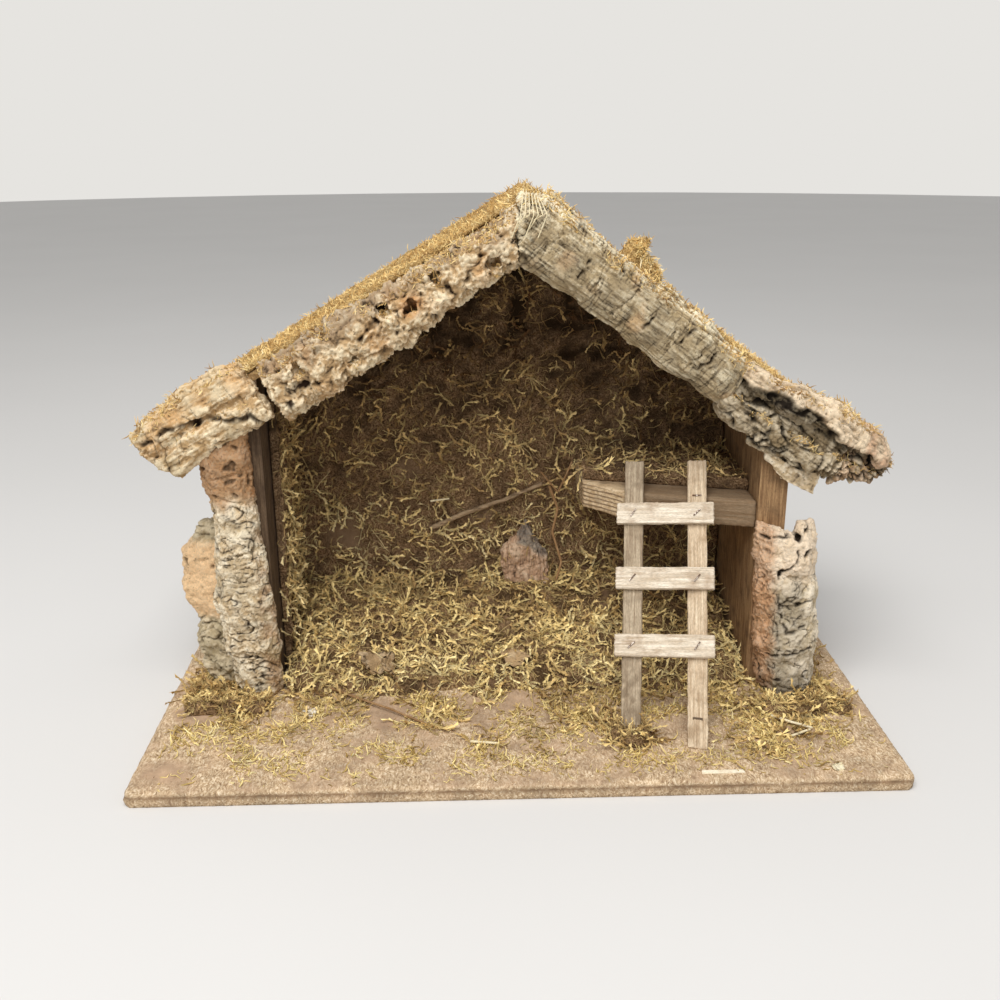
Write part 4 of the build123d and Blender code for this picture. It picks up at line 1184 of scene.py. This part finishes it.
# Moss drifts, moss heaps and bare patches on the yard: where each lies, its reach and how strong it is.
YARD_DRIFTS = (
    ((-205, -5), 34, 1.0),
    ((-180, -28), 28, 1.0),
    ((-207, 42), 34, 1.0),
    ((-60, -38), 30, 0.7),
    ((-110, -26), 26, 0.7),
    ((35, -34), 34, 0.8),
    ((68, -72), 20, 1.1),
    ((165, -48), 40, 1.0),
    ((208, -22), 40, 1.0),
    ((148, -78), 30, 0.7),
    ((212, 45), 34, 1.0),
    ((-20, -76), 20, 0.4),
)
YARD_HEAPS = (((-206, 4), 24, 1.0), ((-190, -14), 20, 1.0), ((-168, -22), 14, 0.8), ((66, -66), 16, 1.0))
YARD_BARE = (
    ((-82, -35), 24, 1.0),
    ((1, -23), 20, 1.0),
    ((-200, -36), 18, 1.0),
    ((-210, -100), 22, 0.6),
    ((100, -60), 20, 0.6),
)


def yard_relief(point, normal):
    """An uneven board with crumbling edges, where litter lies in drifts and moss gathers near the house."""
    top = ease(normal.z, 0.5, 0.9)
    side = 1 - abs(normal.z)
    ragged = fibrous(point, 4, 4, 1.5, 0.8, 3)
    layer = side * ease(1 - abs(point.z - 5.2 - 0.8 * wander(point, 12)) / 1.6, 0.0, 0.8)
    height = 0.3 * top * wander(point, 6) + side * (0.9 * ragged - 1.2 * layer)
    bare = spotted(point, YARD_BARE)
    near_house = 0.85 * ease(point.y, -62, -12) * blotchy(point, 15, -0.35, 0.3)
    covered = abs(point.x) < HOUSE_HALF_WIDTH and point.y > HOUSE_FRONT
    inland = ease(BASE_HALF_WIDTH - abs(point.x), 8, 20) * ease(BASE_HALF_DEPTH - abs(point.y), 4, 12)
    drift = 0.0 if covered else max(spotted(point, YARD_DRIFTS), near_house) * (1 - bare) * inland
    litter = 0.0 if covered else 0.3 + 0.7 * blotchy(point, 20, -0.3, 0.4)
    strewn = blotchy(point / 22 + UP, 1, -0.3, 0.4) * (0.2 + 0.8 * ease(point.y, -112, -88))
    values = {
        "litter": top * litter * (1 - 0.8 * bare) + 0.4 * side * ease(point.z, 2, 4),
        "strewn": 0.0 if covered else top * strewn * (1 - bare) * inland,
        "drift": top * drift * (0.3 + 0.7 * clumped(point, 8)),
        "heap": top * spotted(point, YARD_HEAPS) * inland,
        "hue": 0.5 + 0.25 * wander(point, 21),
        "soiled": top * clamp(0.8 * bare + 0.4 * drift + 0.6 * blotchy(point, 26, 0.0, 0.5)),
        # Painted shade in the groove along the edge, in its ragged hollows and beneath the drifts.
        "gap": clamp(layer + 0.4 * side * ease(-ragged, 0.1, 0.6) + 0.5 * top * drift),
    }
    return height * ease(normal.z, -0.9, -0.4) * normal, values


base = carve(skin_of("base_board", face=2.3, smoothing=2), yard_relief)
yard_sowings = (
    ("yard_litter", "litter", yard_strands, 5, (grit, 12, (0.3, 1.1), (-0.1, 0.2), (-0.5, 0.3))),
    ("yard_straw", "strewn", strewn_strands, 9, (tufts, 24, (0.45, 1.15), (0.05, 0.45), (-0.25, 0.45))),
    ("yard_moss", "drift", strewn_strands, 6, (tufts, 22, (0.5, 1.2), (0.0, 0.5), (-0.4, 0.3))),
    ("yard_sprigs", "drift", floor_strands, 8, (sprigs, 9, (0.5, 1.1), (0.0, 0.4), (-0.3, 0.35))),
    ("yard_heap", "heap", floor_strands, 11, (sprigs, 16, (0.5, 1.1), (-0.1, 0.5), (-0.5, 0.1))),
)
for name, value, strands, seed, settings in yard_sowings:
    sow(name, base, sowing(*settings, seed, value), strands)
add_piece("base_board_worn", base, yard_board, ["base_board"])


# Loose bits


def straw(name, points, thickness, material):
    """A thin stem through some points, round and tapering a little."""
    form = bmesh.new()
    skin = form.verts.layers.skin.verify()
    before = None
    for number, point in enumerate(points):
        vertex = form.verts.new(Vector(point) * MM)
        vertex[skin].radius = (thickness / 2 * (1 - 0.3 * number / len(points)) * MM,) * 2
        vertex[skin].use_root = number == 0
        if before:
            form.edges.new((before, vertex))
        before = vertex
    rounded = (("SKIN", {"use_smooth_shade": True}), ("SUBSURF", {"levels": 1}))
    mesh = applied(meshed(form, name), *rounded)
    add_piece(name, mesh, material)


def flake(name, place, size, turned, material):
    """A thin curled flake lying at a place."""
    form = bmesh.new()
    bmesh.ops.create_icosphere(form, subdivisions=3, radius=1.0)
    turn = Matrix.Identity(3)
    for angle, axis in zip(reversed(turned), "ZYX"):
        turn = turn @ Matrix.Rotation(angle, 3, axis)
    for vertex in form.verts:
        ragged = 1 + 0.6 * noise.noise(1.8 * vertex.co + Vector(place))
        x, y, z = vertex.co
        curl = 0.5 * (x**2 - 0.5) * size[0] + 0.5 * size[1] * noise.noise(2.5 * vertex.co)
        spot = Vector((x * size[0] * ragged, y * size[1] * ragged, z * size[2] + curl))
        vertex.co = (Vector(place) + turn @ spot) * MM
    mesh = meshed(form, name)
    mesh.shade_smooth()
    add_piece(name, mesh, material)


pale_straw = bark_finish("pale_straw", "fff8e2", "f6e6be", "dcc89e", "ecd09a", "8a6c44")
brown_stem = bark_finish("brown_stem", "c9a67c", "9c7750", "7d624a", "a87d52", "3e2a18")
flake_brown = bark_finish("flake_brown", "ecd6b2", "b89a72", "907a5e", "c4a070", "4a321f")
flake_pale = bark_finish("flake_pale", "fffaf0", "f0e6d2", "d8ccb4", "f0dcb8", "a08c6c")
straw("curved_stick", ((-122, -5, 11), (-100, -22, 11.5), (-80, -36, 12), (-58, -52, 10.5)), 1.8, brown_stem)
straw("yard_straw_front", ((-30, -75, 11), (-12, -78, 11)), 2.0, pale_straw)
straw("yard_straw_right", ((158, -52, 11), (168, -62, 12), (180, -68, 11)), 2.0, pale_straw)
straw("yard_straw_end", ((164, -76, 10.5), (178, -70, 11.5)), 1.8, pale_straw)
straw("room_root", ((28, 78, 122), (34, 74, 106), (30, 70, 90), (36, 62, 70), (32, 58, 58)), 2.2, brown_stem)
straw("room_root_side", ((44, 76, 140), (34, 74, 118), (22, 78, 132)), 1.5, brown_stem)
straw("room_straw", ((-56, 88, 108), (-42, 87, 110)), 1.5, pale_straw)
RIDGE_STRAWS = 7
for number in range(RIDGE_STRAWS):
    shift = 2.5 * number
    low = (-2 + shift, -17, 300 + 5 * (number % 3))
    high = (5 + 0.6 * shift, -14, 327 - shift / 3)
    straw(f"ridge_straw_{number}", (low, (3 + shift, -20, 313), high), 0.8, pale_straw)
flake("floor_flake_left", (-92, 4, 25), (11, 8, 0.6), (0.7, 0.3, 0.5), flake_brown)
flake("floor_flake_turned", (-82, 0, 24), (9, 6, 0.6), (0.9, -0.3, 1.6), flake_brown)
flake("floor_flake_right", (1, 12, 23), (8, 6, 0.6), (0.5, 0.2, -0.4), flake_brown)
flake("yard_flake", (-131, -36, 10.4), (4.5, 3.2, 0.8), (0.2, 0.1, 0.5), flake_pale)
flake("yard_seed", (182, -109, 10.2), (4.0, 2.6, 1.0), (0.1, 0.1, 0.4), pale_straw)
chip_sowing = sowing(sprigs, 2, (0.3, 0.6), (-0.2, 0.1), ANY_TINT, seed=60)
sow("bark_chip_moss", chip.data, chip_sowing, wall_strands)


# Boards and wire kept as the frame has them


def board_finish(material, turned):
    """A copy of a wood finish for a kept board, which reads its grain from where the board stands."""
    copy = material.copy()
    tree = copy.node_tree
    look = next(node for node in tree.nodes if node.type == "GROUP")
    place = where(tree)
    mapping = add(tree, "ShaderNodeMapping", {"Vector": place, "Rotation": turned})
    tree.links.new(mapping.outputs[0], look.inputs["Grain"])
    return copy


# The left wall takes the darker copy of the wall wood as painted shade.
for node, wood in (("left_wall", dark_wall_wood), ("right_wall", wall_wood)):
    coat(frame["nodes"][node].data, board_finish(wood, (math.pi / 2, 0, 0)))
for node in ("back_panel", "left_roof_panel", "right_roof_panel"):
    coat(frame["nodes"][node].data, panel_board)
for node in ("wall_nails", "back_nails", "roof_nails", "loft_nails", "rung_staples", "ladder_fixing_staples"):
    coat(frame["nodes"][node].data, steel_wire)


# Floor, light and camera


def set_floor(radius):
    """A plain pale floor."""
    form = bmesh.new()
    bmesh.ops.create_circle(form, cap_ends=True, segments=64, radius=radius)
    mesh = meshed(form, "studio_floor")
    material, tree, shader = new_material("studio_floor")
    place = where(tree)
    tone = mixed(tree, mottle(tree, place, 400, 2), paint("d0cecb"), paint("d6d4d1"))
    tree.links.new(tone, shader.inputs["Base Color"])
    shader.inputs["Roughness"].default_value = 0.9
    coat(mesh, material)
    floor = stood("studio_floor", mesh)


def set_lamp(name, place, target, size, power):
    """A square soft lamp turned to a target."""
    lamp = bpy.data.lights.new(name, "AREA")
    lamp.size = size
    lamp.energy = power
    holder = stood(name, lamp)
    holder.location = place
    holder.rotation_euler = (Vector(target) - Vector(place)).to_track_quat("-Z", "Y").to_euler()


def set_world(level):
    """Even light from all round, with a pale background to look at."""
    world = bpy.data.worlds.new("studio")
    bpy.context.scene.world = world
    world.use_nodes = True
    tree = world.node_tree
    tree.nodes.clear()
    path = add(tree, "ShaderNodeLightPath").outputs
    seen = worked(tree, path["Is Camera Ray"], path["Is Glossy Ray"], "MAXIMUM")
    seen = worked(tree, seen, path["Is Transmission Ray"], "MAXIMUM")
    light = add(tree, "ShaderNodeBackground", {"Color": (1, 1, 1, 1), "Strength": level})
    backdrop = add(tree, "ShaderNodeBackground", {"Color": paint("e6e4e0"), "Strength": 1})
    both = add(tree, "ShaderNodeMixShader", {0: seen, 1: light.outputs[0], 2: backdrop.outputs[0]})
    add(tree, "ShaderNodeOutputWorld", {"Surface": both.outputs[0]})


def set_camera():
    """A camera at the photograph's place, turn and lens."""
    forward = Vector(
        (
            math.sin(CAMERA_YAW) * math.cos(CAMERA_PITCH),
            math.cos(CAMERA_YAW) * math.cos(CAMERA_PITCH),
            -math.sin(CAMERA_PITCH),
        )
    )
    level = Vector((math.cos(CAMERA_YAW), -math.sin(CAMERA_YAW), 0))
    down = forward.cross(level)
    right = math.cos(CAMERA_ROLL) * level + math.sin(CAMERA_ROLL) * down
    lowered = math.cos(CAMERA_ROLL) * down - math.sin(CAMERA_ROLL) * level
    data = bpy.data.cameras.new("view")
    data.sensor_width = SENSOR_WIDTH
    data.lens = SENSOR_WIDTH * FOCAL_SHARE
    camera = stood("view", data)
    turn = Matrix((right, -lowered, -forward)).transposed().to_4x4()
    camera.matrix_world = Matrix.Translation(CAMERA_PLACE * MM) @ turn
    bpy.context.scene.camera = camera


set_floor(radius=6.0)
set_world(level=0.55)
set_lamp("key", place=(-0.3, -0.9, 1.65), target=(0, 0, 0.15), size=1.2, power=34)
set_camera()
bpy.context.scene.view_settings.view_transform = "Standard"

for kit in (shoots, sprigs, crumbs, grit, tufts, hairs):
    for spare in list(kit.objects):
        bpy.data.objects.remove(spare)
    bpy.data.collections.remove(kit)
